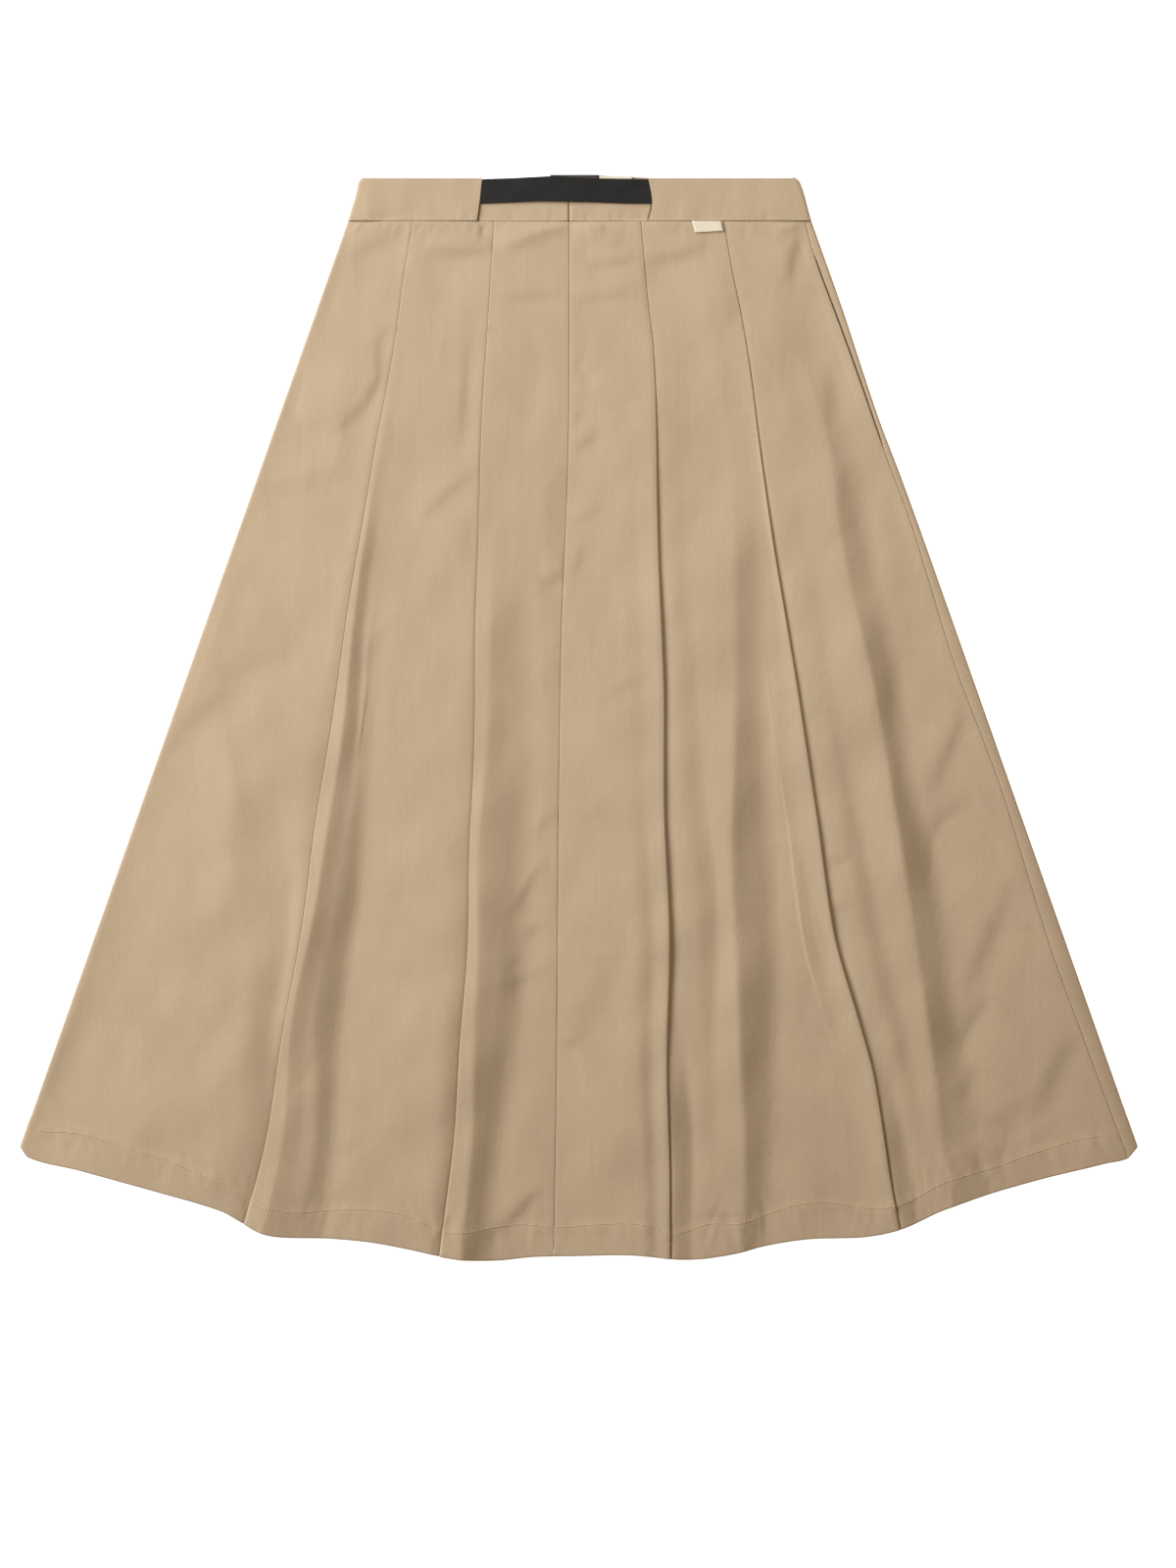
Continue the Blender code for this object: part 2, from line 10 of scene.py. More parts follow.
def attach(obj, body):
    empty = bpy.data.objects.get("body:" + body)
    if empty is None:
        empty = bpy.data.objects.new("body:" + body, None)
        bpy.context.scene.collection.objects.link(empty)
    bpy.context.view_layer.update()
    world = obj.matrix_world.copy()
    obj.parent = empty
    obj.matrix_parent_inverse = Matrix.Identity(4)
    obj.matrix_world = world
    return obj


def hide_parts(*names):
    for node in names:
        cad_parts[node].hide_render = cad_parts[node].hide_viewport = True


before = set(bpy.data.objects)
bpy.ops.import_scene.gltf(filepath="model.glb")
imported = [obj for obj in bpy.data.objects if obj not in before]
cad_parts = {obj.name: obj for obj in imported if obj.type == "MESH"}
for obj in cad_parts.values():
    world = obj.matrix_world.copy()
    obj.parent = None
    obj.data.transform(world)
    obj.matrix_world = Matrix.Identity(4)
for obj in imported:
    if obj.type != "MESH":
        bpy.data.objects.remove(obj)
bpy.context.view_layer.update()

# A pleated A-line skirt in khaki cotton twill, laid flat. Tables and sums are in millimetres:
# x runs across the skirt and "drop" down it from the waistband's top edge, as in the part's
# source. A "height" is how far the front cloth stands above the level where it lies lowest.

skirt = {
    "bandTopY": 450.36,  # world Y where drop is zero
    "waistDrop": 35.75,  # the waist seam
    "seamGap": 0.3,
    "backZ": 0.4,  # middle of the back panel's cloth
    "frontZ": 3.1,  # where the front's height is zero
    "edgeRound": 1.7,  # how far the side edges' rounding reaches in
    "clothThick": 0.7,
    "hemThick": 1.5,  # the turned-up hem
    # how far the hem's stitch line lies above the edge, which wavers as the cloth lifts
    "hemDepth": {
        "x": (-455, -414, -372, -342, -282, -253, -238, -187, -145, -112, -61, -20, 15, 54, 78,
              108, 137, 179, 206, 262, 307, 347, 410, 459),
        "up": (25, 31, 29.5, 28.7, 21.3, 23, 21.3, 26, 28, 21.3, 29, 24.6, 26, 26, 21.3,
               29, 24.6, 29.5, 30.3, 21.3, 23, 21.3, 25.4, 23),
    },
    "leftEdge": {"drop": (36, 809, 900), "x": (-193.3, -467.0, -499.0)},
    "rightEdge": {
        "drop": (36, 110, 165, 205, 250, 330, 809, 900),
        "x": (194.8, 221.0, 239.0, 252.6, 269.8, 298.6, 467.0, 499.0),
    },
    "frontHem": {
        "x": (-467, -460, -415, -350, -300, -284, -268, -251, -202, -169, -137, -104, -71, -38,
              -5, 44, 93, 126, 159, 192, 241, 274, 306, 372, 438, 459, 467),
        "drop": (808, 818, 829, 847, 862, 871, 880, 884, 886, 889, 895, 902, 904, 901,
                 900, 899, 903, 899, 891, 886, 884, 876, 861, 840, 823, 818, 808),
    },
    "backHem": {"middle": 895.4, "rise": 0.00041},  # its drop, and how fast it rises to the corners
    "centreSeam": {
        "drop": (36, 225, 380, 530, 755, 900),
        "x": (-7.8, -8.6, -14.4, -16.8, -18.5, -20.9),
    },
    "sideSeam": {
        "drop": (36, 65, 130, 178, 225, 286, 335, 407, 508, 640, 717, 817),
        "x": (189.2, 197.0, 221.0, 238.2, 254.4, 277.0, 292.3, 314.5, 352.2, 393.2, 421.1, 458.0),
    },
}


# camera, floor and light
studio = {
    "aim": (7.8, -55.6),  # the middle of the picture
    "cameraHeight": 3000.0,
    "pictureHeight": 1312.0,  # how much of the floor the long side of the picture takes in
    # azimuth in degrees from +X, elevation in degrees, distance and size in m, power in W
    "lamps": (
        {"name": "large softbox", "azimuth": 151, "elevation": 32, "distance": 3.0, "size": 1.8,
         "power": 142},
        {"name": "small softbox", "azimuth": 45, "elevation": 50, "distance": 1.2, "size": 0.8,
         "power": 3.5},
    ),
    "lampColour": "F6F8FF",
    "fillColour": "FFD28E",
    "fillStrength": 0.2,
    "sensorWidth": 36.0,
    "floorSize": 15,  # m from the middle to a side
    "floorZ": -0.0004,
}
acrylicLook = {"tone": "DDE1EA", "glow": 0.95, "roughness": 0.9, "specular": 0.2}


def toLinear(hexColour):
    parts = [int(hexColour[i:i + 2], 16) / 255 for i in (0, 2, 4)]
    linear = (c / 12.92 if c <= 0.04045 else ((c + 0.055) / 1.055) ** 2.4 for c in parts)
    return (*linear, 1.0)


def addNode(tree, kind, settings=None, links=None):
    # one node, its properties and sockets set, and its inputs linked from other nodes' outputs
    node = tree.nodes.new(kind)
    for name, value in (settings or {}).items():
        if isinstance(name, str) and hasattr(node, name):
            setattr(node, name, value)
        else:
            node.inputs[name].default_value = value
    for name, source in (links or {}).items():
        tree.links.new(source, node.inputs[name])
    return node


def newFinish(name, look):
    finish = bpy.data.materials.new(name)
    finish.use_nodes = True
    tree = finish.node_tree
    surface = tree.nodes["Principled BSDF"]
    surface.inputs["Roughness"].default_value = look["roughness"]
    if "specular" in look:
        surface.inputs["Specular IOR Level"].default_value = look["specular"]
    return finish, tree, surface


def addPiece(name, made, finish):
    # an object that takes over a bmesh
    mesh = bpy.data.meshes.new(name)
    made.to_mesh(mesh)
    made.free()
    mesh.shade_smooth()
    mesh.materials.append(finish)
    piece = bpy.data.objects.new(name, mesh)
    bpy.context.scene.collection.objects.link(piece)
    return piece


def setStudio():
    x, y = (v / 1000 for v in studio["aim"])
    lens = bpy.data.cameras.new("camera")
    lens.sensor_width = studio["sensorWidth"]
    lens.lens = studio["sensorWidth"] * studio["cameraHeight"] / studio["pictureHeight"]
    lens.clip_end = 50.0
    camera = bpy.data.objects.new("camera", lens)
    camera.location = (x, y, studio["cameraHeight"] / 1000)
    bpy.context.scene.collection.objects.link(camera)
    bpy.context.scene.camera = camera

    for row in studio["lamps"]:
        light = bpy.data.lights.new(row["name"], "AREA")
        light.shape = "SQUARE"
        light.size = row["size"]
        light.energy = row["power"]
        light.color = toLinear(studio["lampColour"])[:3]
        lamp = bpy.data.objects.new(row["name"], light)
        azimuth, elevation = math.radians(row["azimuth"]), math.radians(row["elevation"])
        level = math.cos(elevation)
        away = Vector((math.cos(azimuth) * level, math.sin(azimuth) * level, math.sin(elevation)))
        lamp.location = Vector((x, y, 0)) + away * row["distance"]
        lamp.rotation_mode = "QUATERNION"
        lamp.rotation_quaternion = away.to_track_quat("Z", "Y")
        lamp.visible_camera = False
        bpy.context.scene.collection.objects.link(lamp)

    world = bpy.data.worlds.new("studio")
    world.use_nodes = True
    sky = world.node_tree.nodes["Background"]
    sky.inputs["Color"].default_value = toLinear(studio["fillColour"])
    sky.inputs["Strength"].default_value = studio["fillStrength"]
    bpy.context.scene.world = world
    bpy.context.scene.view_settings.view_transform = "Standard"  # plain product-picture tones

    # opal acrylic lit from behind, near white, which keeps shadows pale
    acrylic, _, surface = newFinish("backlit_opal_acrylic", acrylicLook)
    surface.inputs["Base Color"].default_value = toLinear(acrylicLook["tone"])
    surface.inputs["Emission Color"].default_value = (1, 1, 1, 1)
    surface.inputs["Emission Strength"].default_value = acrylicLook["glow"]
    sheet = bmesh.new()
    bmesh.ops.create_grid(sheet, x_segments=1, y_segments=1, size=studio["floorSize"])
    bmesh.ops.translate(sheet, verts=sheet.verts, vec=(0, 0, studio["floorZ"]))
    floor = addPiece("floor", sheet, acrylic)


setStudio()
print("studio set")


# finishes, with pitches in mm and heights in m
twillLook = {
    "face": "BAA68B",  # khaki, as the cloth is under even light
    "shade": "B09C7D",  # the weft that shows between the diagonal ribs
    "ribPitch": 1.1,  # real cotton twill has 0.6, too fine to show in the picture
    "ribAngle": 58.0,  # degrees from the weft
    "ribHeight": 0.00003,
    "slubPitch": 3.0,  # the thicker yarns
    "slubStretch": 0.05,  # how thin they are for their length
    "slubShare": 0.35,  # of a rib's height
    "mottlePitch": 60.0,
    "crumplePitch": 9.0,  # the slight crispness of cotton that has been folded away
    "crumpleHeight": 0.00025,
    "roughness": 0.86,
    "specular": 0.25,
    "sheen": 0.08,
    "sheenRoughness": 0.5,
}
webbingLook = {
    "face": "1E1F1D",
    "ribPitch": 1.3,
    "crossPitch": 1.04,
    "ribHeight": 0.00008,
    # size of the patches of painted sheen, lighter and darker charcoal
    "paintedSheenPitch": 20.0,
    "roughness": 0.58,
    "specular": 0.22,
}
creamLook = {"face": "DED6BD", "threadPitch": 0.8, "threadHeight": 0.00004, "roughness": 0.75}
darkLook = {"face": "3A332C", "threadPitch": 0.8, "threadHeight": 0.00004, "roughness": 0.6}
threadLook = {"ply": 0.5, "roughness": 0.6}
threadColours = {"pale": "D3BE9E", "khaki": "B89F80", "light": "EBDCBE"}


def bandsOf(pitch, direction, uneven=None):
    # settings of a Wave texture whose bands repeat every pitch millimetres
    scale = 2 * math.pi / (20 * pitch)
    return {"wave_type": "BANDS", "bands_direction": direction, "Scale": scale, **(uneven or {})}


def span(low, high, least=0.3, most=0.7):
    # settings of a Map Range that turns a texture's usual reach into a factor
    return {"From Min": least, "From Max": most, "To Min": low, "To Max": high}


def tint(tree, surface, hexColour, factor):
    # the finish's colour, lighter and darker by a factor from its pattern
    colour = toLinear(hexColour)[:3]
    scaled = addNode(tree, "ShaderNodeVectorMath", {"operation": "SCALE", 0: colour},
                     {"Scale": factor})
    tree.links.new(scaled.outputs["Vector"], surface.inputs["Base Color"])


def cottonTwill():
    # Khaki cotton twill, piece-dyed and pressed: matt, with fine diagonal ribs, a few thicker
    # yarns along the warp and soft mottling where the pressing has caught it.
    look = twillLook
    finish, tree, surface = newFinish("cotton_twill_khaki", look)
    uv = addNode(tree, "ShaderNodeUVMap", {"uv_map": "cloth"}).outputs["UV"]
    turn = (0, 0, math.radians(look["ribAngle"]))
    turned = addNode(tree, "ShaderNodeMapping", {"Rotation": turn},
                     {"Vector": uv}).outputs["Vector"]
    uneven = {"wave_profile": "SIN", "Distortion": 0.6, "Detail": 1.0, "Detail Scale": 1.5}
    rib = addNode(tree, "ShaderNodeTexWave", bandsOf(look["ribPitch"], "X", uneven),
                  {"Vector": turned}).outputs["Fac"]
    along = addNode(tree, "ShaderNodeMapping", {"Scale": (1.0, look["slubStretch"], 1.0)},
                    {"Vector": uv}).outputs["Vector"]
    slub = addNode(tree, "ShaderNodeTexNoise",
                   {"Scale": 1 / look["slubPitch"], "Detail": 3.0, "Roughness": 0.6},
                   {"Vector": along}).outputs["Fac"]
    mottle = addNode(tree, "ShaderNodeTexNoise",
                     {"Scale": 1 / look["mottlePitch"], "Detail": 4.0, "Roughness": 0.55},
                     {"Vector": uv})
    mottleTone = addNode(tree, "ShaderNodeMapRange", span(0.965, 1.035),
                         {"Value": mottle.outputs["Fac"]})
    slubTone = addNode(tree, "ShaderNodeMapRange", span(0.97, 1.03, 0.25, 0.75), {"Value": slub})
    tone = addNode(tree, "ShaderNodeMath", {"operation": "MULTIPLY"},
                   {0: mottleTone.outputs["Result"], 1: slubTone.outputs["Result"]})
    # sockets 6 and 7 are the two colours of a colour mix, and output 2 is its result
    colours = {"data_type": "RGBA", 6: toLinear(look["shade"]), 7: toLinear(look["face"])}
    weave = addNode(tree, "ShaderNodeMix", colours, {0: rib})
    shaded = addNode(tree, "ShaderNodeVectorMath", {"operation": "SCALE"},
                     {0: weave.outputs[2], "Scale": tone.outputs["Value"]})
    tree.links.new(shaded.outputs["Vector"], surface.inputs["Base Color"])
    depth = addNode(tree, "ShaderNodeMath", {"operation": "MULTIPLY_ADD", 1: look["slubShare"]},
                    {0: slub, 2: rib})
    crumple = addNode(tree, "ShaderNodeTexNoise",
                      {"Scale": 1 / look["crumplePitch"], "Detail": 2.5, "Roughness": 0.55,
                       "Distortion": 0.3}, {"Vector": uv})
    crisp = addNode(tree, "ShaderNodeBump", {"Distance": look["crumpleHeight"]},
                    {"Height": crumple.outputs["Fac"]})
    ribbed = addNode(tree, "ShaderNodeBump", {"Distance": look["ribHeight"]},
                     {"Height": depth.outputs["Value"], "Normal": crisp.outputs["Normal"]})
    tree.links.new(ribbed.outputs["Normal"], surface.inputs["Normal"])
    surface.inputs["Sheen Weight"].default_value = look["sheen"]
    surface.inputs["Sheen Roughness"].default_value = look["sheenRoughness"]
    return finish


def satinWebbing():
    # Polyester webbing, woven and calendered: charcoal, smooth, with fine cross ribs. Its soft,
    # patchy sheen is painted into the colour as lighter and darker patches.
    look = webbingLook
    finish, tree, surface = newFinish("polyester_webbing_charcoal", look)
    uv = addNode(tree, "ShaderNodeUVMap", {"uv_map": "cloth"}).outputs["UV"]
    uneven = {"Distortion": 0.3, "Detail": 1.0}
    rib = addNode(tree, "ShaderNodeTexWave", bandsOf(look["ribPitch"], "X", uneven), {"Vector": uv})
    cross = addNode(tree, "ShaderNodeTexWave", bandsOf(look["crossPitch"], "Y", uneven),
                    {"Vector": uv})
    weave = addNode(tree, "ShaderNodeMath", {"operation": "MULTIPLY"},
                    {0: rib.outputs["Fac"], 1: cross.outputs["Fac"]}).outputs["Value"]
    # painted sheen: a noise that lightens and darkens the charcoal in soft patches
    paintedSheen = addNode(tree, "ShaderNodeTexNoise", {"Scale": 1 / look["paintedSheenPitch"], "Detail": 3.0},
                   {"Vector": uv})
    tone = addNode(tree, "ShaderNodeMapRange", span(0.75, 1.3), {"Value": paintedSheen.outputs["Fac"]})
    ribTone = addNode(tree, "ShaderNodeMapRange", span(0.8, 1.15, 0, 1), {"Value": weave})
    both = addNode(tree, "ShaderNodeMath", {"operation": "MULTIPLY"},
                   {0: tone.outputs["Result"], 1: ribTone.outputs["Result"]})
    tint(tree, surface, look["face"], both.outputs["Value"])
    raised = addNode(tree, "ShaderNodeBump", {"Distance": look["ribHeight"]}, {"Height": weave})
    tree.links.new(raised.outputs["Normal"], surface.inputs["Normal"])
    return finish


def wovenLabel(name, look):
    # Taffeta-woven label: flat and close, with a faint grid of threads.
    finish, tree, surface = newFinish(name, look)
    uv = addNode(tree, "ShaderNodeUVMap", {"uv_map": "cloth"}).outputs["UV"]
    warp, weft = (addNode(tree, "ShaderNodeTexWave", bandsOf(look["threadPitch"], direction),
                          {"Vector": uv}) for direction in "XY")
    grid = addNode(tree, "ShaderNodeMath", {"operation": "ADD"},
                   {0: warp.outputs["Fac"], 1: weft.outputs["Fac"]}).outputs["Value"]
    tone = addNode(tree, "ShaderNodeMapRange", span(0.9, 1.03, 0, 2), {"Value": grid})
    tint(tree, surface, look["face"], tone.outputs["Result"])
    raised = addNode(tree, "ShaderNodeBump", {"Distance": look["threadHeight"]}, {"Height": grid})
    tree.links.new(raised.outputs["Normal"], surface.inputs["Normal"])
    return finish


def sewingThread(colour):
    # Spun polyester thread: a low sheen, darker in the twist.
    finish, tree, surface = newFinish("sewing_thread_" + colour, threadLook)
    place = addNode(tree, "ShaderNodeTexCoord").outputs["Object"]
    twist = addNode(tree, "ShaderNodeTexNoise", {"Scale": 1000 / threadLook["ply"], "Detail": 1.0},
                    {"Vector": place})
    tone = addNode(tree, "ShaderNodeMapRange", span(0.85, 1.1), {"Value": twist.outputs["Fac"]})
    tint(tree, surface, threadColours[colour], tone.outputs["Result"])
    return finish


twill = cottonTwill()
webbing = satinWebbing()
creamLabel = wovenLabel("taffeta_label_cream", creamLook)
darkLabel = wovenLabel("taffeta_label_dark", darkLook)
paleThread, khakiThread, lightThread = (sewingThread(colour) for colour in threadColours)
print("finishes made")


# curves and sheets
def through(keys, values):
    # a smooth curve through the values at the keys, for a number or a whole array
    keys = np.asarray(keys, float)
    values = np.asarray(values, float)
    last = len(keys) - 1
    before = np.maximum(np.arange(last + 1) - 1, 0)
    after = np.minimum(np.arange(last + 1) + 1, last)
    slopes = (values[after] - values[before]) / (keys[after] - keys[before])

    def value(key):
        key = np.asarray(key, float)
        i = np.clip(np.searchsorted(keys, key) - 1, 0, last - 1)
        gap = keys[i + 1] - keys[i]
        t = np.clip((key - keys[i]) / gap, 0, 1)
        rise = values[i + 1] - values[i]
        start = slopes[i] * gap
        end = slopes[i + 1] * gap
        bend = 3 * rise - 2 * start - end + t * (start + end - 2 * rise)
        return values[i] + t * (start + t * bend)

    return value


def curve(table, by="drop", of="x"):
    return through(table[by], table[of])


leftEdge, rightEdge = curve(skirt["leftEdge"]), curve(skirt["rightEdge"])
centreSeam, sideSeam = curve(skirt["centreSeam"]), curve(skirt["sideSeam"])
frontHem = curve(skirt["frontHem"], "x", "drop")
hemDepth = curve(skirt["hemDepth"], "x", "up")


def backHem(x):
    return skirt["backHem"]["middle"] - skirt["backHem"]["rise"] * x * x


def smooth(t):
    t = np.clip(t, 0, 1)
    return t * t * (3 - 2 * t)


def downRows(drops, columns):
    # the same drops for every column
    return np.repeat(drops[:, None], columns, axis=1)


def clothSheet(name, x, drop, z, thick, finish):
    # A closed shell of cloth round a sheet of points. The arrays have a row for each drop and a
    # column for each line down the cloth. thick is a number, or an array of the same shape.
    rows, columns = x.shape
    made = bmesh.new()
    bmesh.ops.create_grid(made, x_segments=columns - 1, y_segments=rows - 1, size=1)
    piece = addPiece(name, made, finish)
    mesh = piece.data
    points = np.stack([x, skirt["bandTopY"] - drop, z], axis=-1) / 1000
    mesh.vertices.foreach_set("co", points.astype(np.float32).ravel())
    mesh.update()
    steps = np.hypot(np.diff(x, axis=1), np.diff(z, axis=1))
    across = np.concatenate([np.zeros((rows, 1)), np.cumsum(steps, axis=1)], axis=1)
    corners = np.zeros(len(mesh.loops), int)
    mesh.loops.foreach_get("vertex_index", corners)
    threads = mesh.uv_layers.new(name="cloth")  # in millimetres, across and down the cloth
    flat = np.stack([across.ravel()[corners], drop.ravel()[corners]], axis=-1)
    threads.data.foreach_set("uv", flat.astype(np.float32).ravel())
    thick = np.broadcast_to(np.asarray(thick, float), x.shape)
    most = float(thick.max())
    wall = addWall(piece, most)
    wall.use_even_offset = False
    wall.use_quality_normals = True
    if thick.min() < most:
        group = piece.vertex_groups.new(name="thick")
        levels = np.round(thick.ravel() / most, 2)
        for level in np.unique(levels):
            group.add(np.flatnonzero(levels == level).tolist(), float(level), "REPLACE")
        wall.vertex_group = "thick"
    return piece


def addWall(piece, thick):
    wall = piece.modifiers.new("wall", "SOLIDIFY")
    wall.thickness = thick / 1000
    wall.offset = 0
    return wall


# creases of the front, each a line where the cloth falls away from the light
# A row holds the x and drop of points along the line, half its width, how much lower the cloth
# is on the far side, and which side of it is the sharp one, if any. The cloth comes back level
# within "reach" times the half width.
creases = [
    # waist
    (((-9, 40), (-28, 44), (-48, 51), (-68, 59)), 2.6, 2.16, "near"),
    (((-72, 61), (-95, 62), (-128, 60)), 3.8, 2.09),
    (((-82, 38), (-82, 51)), 2, 1.08),
    (((-66, 99), (-13, 98)), 3.4, 1.12),
    (((-4, 38), (8, 39), (22, 41)), 2.0, 1.33, "near"),
    (((-3, 44), (14, 49), (34, 56)), 2.2, 1.43, "near"),
    (((8, 70), (28, 70), (49, 68)), 2.6, 1.52),
    (((-5, 102), (49, 94)), 3.3, 1.31),
    (((53, 71), (82, 65), (108, 57)), 3.3, 1.69),
    (((164, 51), (188, 37)), 3.0, 1.56),
    (((188, 45), (182, 55), (178, 67), (176, 88)), 4.1, 2.49),  # by the pocket
    (((164, 88), (168, 112), (172, 137), (187, 244)), 7.4, 1.6),
    (((131, 92), (127, 125)), 6.6, 1.42),
    (((-193, 65), (-148, 47)), 5.4, 1.38),
    # upper left
    (((-156, 123), (-169, 137), (-167, 166), (-177, 186), (-201, 211)), 3.8, 1.77),
    (((-238, 198), (-197, 211)), 6.6, 0.99),
    (((-263, 260), (-189, 248)), 7.4, 1.11),
    (((-92, 127), (-96, 178), (-99, 229)), 3.6, 1.33),
    (((-85, 244), (-115, 268), (-132, 285)), 3.6, 1.03),
    (((-93, 276), (-95, 342)), 6.6, 1.38),
    # left
    (((-308, 416), (-238, 395)), 9.8, 1.32),
    (((-287, 424), (-320, 449), (-341, 481)), 9.8, 1.86),
    (((-154, 424), (-156, 481)), 4.1, 0.55),
    (((-291, 457), (-282, 506), (-269, 563)), 6.6, 1.77),
    # beside the centre seam
    (((-17, 529), (-31, 535), (-37, 547)), 2.2, 0.95, "near"),
    (((-25, 570), (-37, 576), (-50, 600), (-62, 613)), 2.6, 1.33, "near"),
    (((-33, 625), (-46, 633)), 3.3, 0.99),
    (((-21, 658), (-58, 668), (-70, 674)), 2.6, 0.88, "near"),
    (((-31, 335), (-12, 334)), 3.3, 1.38),
    (((-6, 204), (5, 193)), 2.5, 0.89),
    (((-5, 229), (18, 211)), 3.3, 1.19),
    (((0, 170), (8, 178)), 2.5, 0.73),
    (((-5, 153), (5, 149)), 2.5, 0.58),
    (((-5, 289), (18, 275)), 2.5, 0.73),
    (((6, 305), (-5, 334)), 3.3, 0.99),
    (((12, 440), (61, 412)), 4.9, 0.89),
    (((-14, 722), (1, 722)), 2.5, 0.89),
    # right
    (((209, 149), (210, 174), (213, 203)), 5.7, 1.61),
    (((207, 569), (226, 569)), 2.5, 0.89),
    (((211, 608), (226, 608)), 2.5, 0.69),
    (((323, 440), (312, 470), (294, 514)), 5.5, 1.9),
    (((334, 519), (308, 534), (297, 550), (295, 576), (290, 600)), 4.2, 1.9, "far"),
    (((360, 584), (348, 622), (330, 664), (322, 684)), 6.6, 1.9),
    (((343, 683), (331, 706), (318, 732)), 3.6, 1.7, "far"),
    (((330, 740), (318, 772)), 5.7, 1.38),
    (((342, 789), (358, 811)), 6.6, 1.57),
    (((419, 715), (405, 731), (377, 786)), 6.6, 1.84),
    (((323, 625), (395, 625)), 2.5, 0.25),
    # the packing crease across the skirt
    (((-177, 662), (-74, 657), (24, 652), (176, 649)), 2, 0.2),
    # hem
    (((-29, 845), (-43, 854), (-52, 866), (-62, 874), (-82, 884)), 3.2, 1.5),
    (((94, 865), (141, 868)), 3.3, 0.66),
    (((-197, 838), (-197, 860)), 2.5, 0.69),
]
surfaceFeel = {
    "awayFromLight": (0.94, 0.34),  # in x and drop: which side of a crease is its far side
    "reach": 5,
    "waves": 44,  # soft unevenness of the cloth
    "waveLengths": (22, 120),
    "waveSlope": 0.0055,
    "puckers": 170,  # along each hem and waist seam
    "puckerSlope": 0.25,
    "hemPuckers": 25.0,  # how far they reach from the hem
    "waistPuckers": 7.0,
    "hemRidge": (0.45, 1.3),  # the turned hem's inner edge shows through: its height and width
    "bandRise": 0.7,  # the cloth beside the middle comes up to the thicker waistband
    "seamDip": 0.2,
    "looseCreases": 90,  # short, faint ones all over, most of them along the folds
    "sway": 1.3,  # mm that the fold lines wander to each side
    "swell": 0.13,  # share by which the folds' heights vary
    "seed": 11,
}


def creaseRelief(x, drop, table):
    total = np.zeros_like(x)
    away = surfaceFeel["awayFromLight"]
    for points, wide, fall, *sharp in table:
        at = np.array(points, float)
        reach = surfaceFeel["reach"] * wide
        low = at.min(axis=0) - 3 * reach
        high = at.max(axis=0) + 3 * reach
        near = (x > low[0]) & (x < high[0]) & (drop > low[1]) & (drop < high[1])
        if not near.any():
            continue
        px, py = x[near], drop[near]
        lengths = np.hypot(*np.diff(at, axis=0).T)
        whole = lengths.sum()
        nearest = np.full(px.shape, 1e9)
        signed, share = np.zeros_like(px), np.zeros_like(px)
        gone = 0.0
        for start, end, length in zip(at, at[1:], lengths):
            unit = (end - start) / length
            normal = np.array((-unit[1], unit[0]))
            if normal @ away < 0:
                normal = -normal
            dx, dy = px - start[0], py - start[1]
            t = np.clip(dx * unit[0] + dy * unit[1], 0, length)
            far = np.hypot(dx - t * unit[0], dy - t * unit[1])
            closer = far < nearest
            side = np.where(dx * normal[0] + dy * normal[1] < 0, -1.0, 1.0)
            nearest = np.where(closer, far, nearest)
            signed = np.where(closer, far * side, signed)
            share = np.where(closer, (gone + t) / whole, share)
            gone += length
        taper = np.sin(np.pi * np.clip(share, 0, 1)) ** 0.6
        run = np.abs(at[-1] - at[0])
        deep = fall * (1.0 + 0.7 * run[0] / (run.sum() + 0.01))
        total[near] += deep * creaseProfile(signed, wide, reach, *sharp) * taper
    return total


def creaseProfile(off, wide, reach, sharp=None):
    # height across a crease: "near" is a crest whose far side falls away at once, "far" a
    # trough whose near side does, and without either the fall is soft on both sides
    if sharp is None:
        return -0.5 * np.tanh(off / wide) * np.exp(-(np.abs(off) / reach) ** 1.4)
    size = np.sqrt(off * off + 0.64) - 0.8
    if sharp == "near":
        return 0.8 * np.exp(-size / np.where(off < 0, reach, 1.6 * wide))
    return -0.8 * np.exp(-size / np.where(off < 0, 1.6 * wide, reach))


def unevenness(x, drop):
    # a sum of faint waves in every direction, the same on each run
    chance = np.random.default_rng(surfaceFeel["seed"])
    total = np.zeros_like(x)
    for _ in range(surfaceFeel["waves"]):
        length = chance.uniform(*surfaceFeel["waveLengths"])
        turn = chance.uniform(0, 2 * np.pi)
        phase = chance.uniform(0, 2 * np.pi)
        height = surfaceFeel["waveSlope"] * length / (2 * np.pi)
        along = x * np.cos(turn) + 0.6 * drop * np.sin(turn)
        total += height * np.sin(along * 2 * np.pi / length + phase)
    return total


def looseCreases():
    chance = np.random.default_rng(surfaceFeel["seed"] + 1)
    table = []
    for _ in range(surfaceFeel["looseCreases"]):
        drop = chance.uniform(60, 860)
        middle = chance.uniform(-0.93, 0.93) * (190 + 0.33 * drop)
        lean = middle / 700 + chance.normal(0, 0.55)
        length = chance.uniform(16, 75)
        bow = chance.uniform(-0.12, 0.12) * length
        step = (0.5 * length * math.sin(lean), 0.5 * length * math.cos(lean))
        points = ((middle - step[0], drop - step[1]), (middle + bow, drop),
                  (middle + step[0], drop + step[1]))
        wide, fall = chance.uniform(1.8, 4.5), chance.uniform(0.11, 0.46)
        table.append((points, wide, fall, ("near", "far", None)[chance.integers(3)]))
    return table


def slowWaves(x, drop, lengths, seed):
    # a smooth field between about -1 and 1
    chance = np.random.default_rng(seed)
    total = np.zeros_like(x)
    for _ in range(12):
        length = chance.uniform(*lengths)
        turn = chance.uniform(0, 2 * np.pi)
        along = x * np.cos(turn) + drop * np.sin(turn)
        total += np.sin(along * 2 * np.pi / length + chance.uniform(0, 2 * np.pi))
    return total / 4


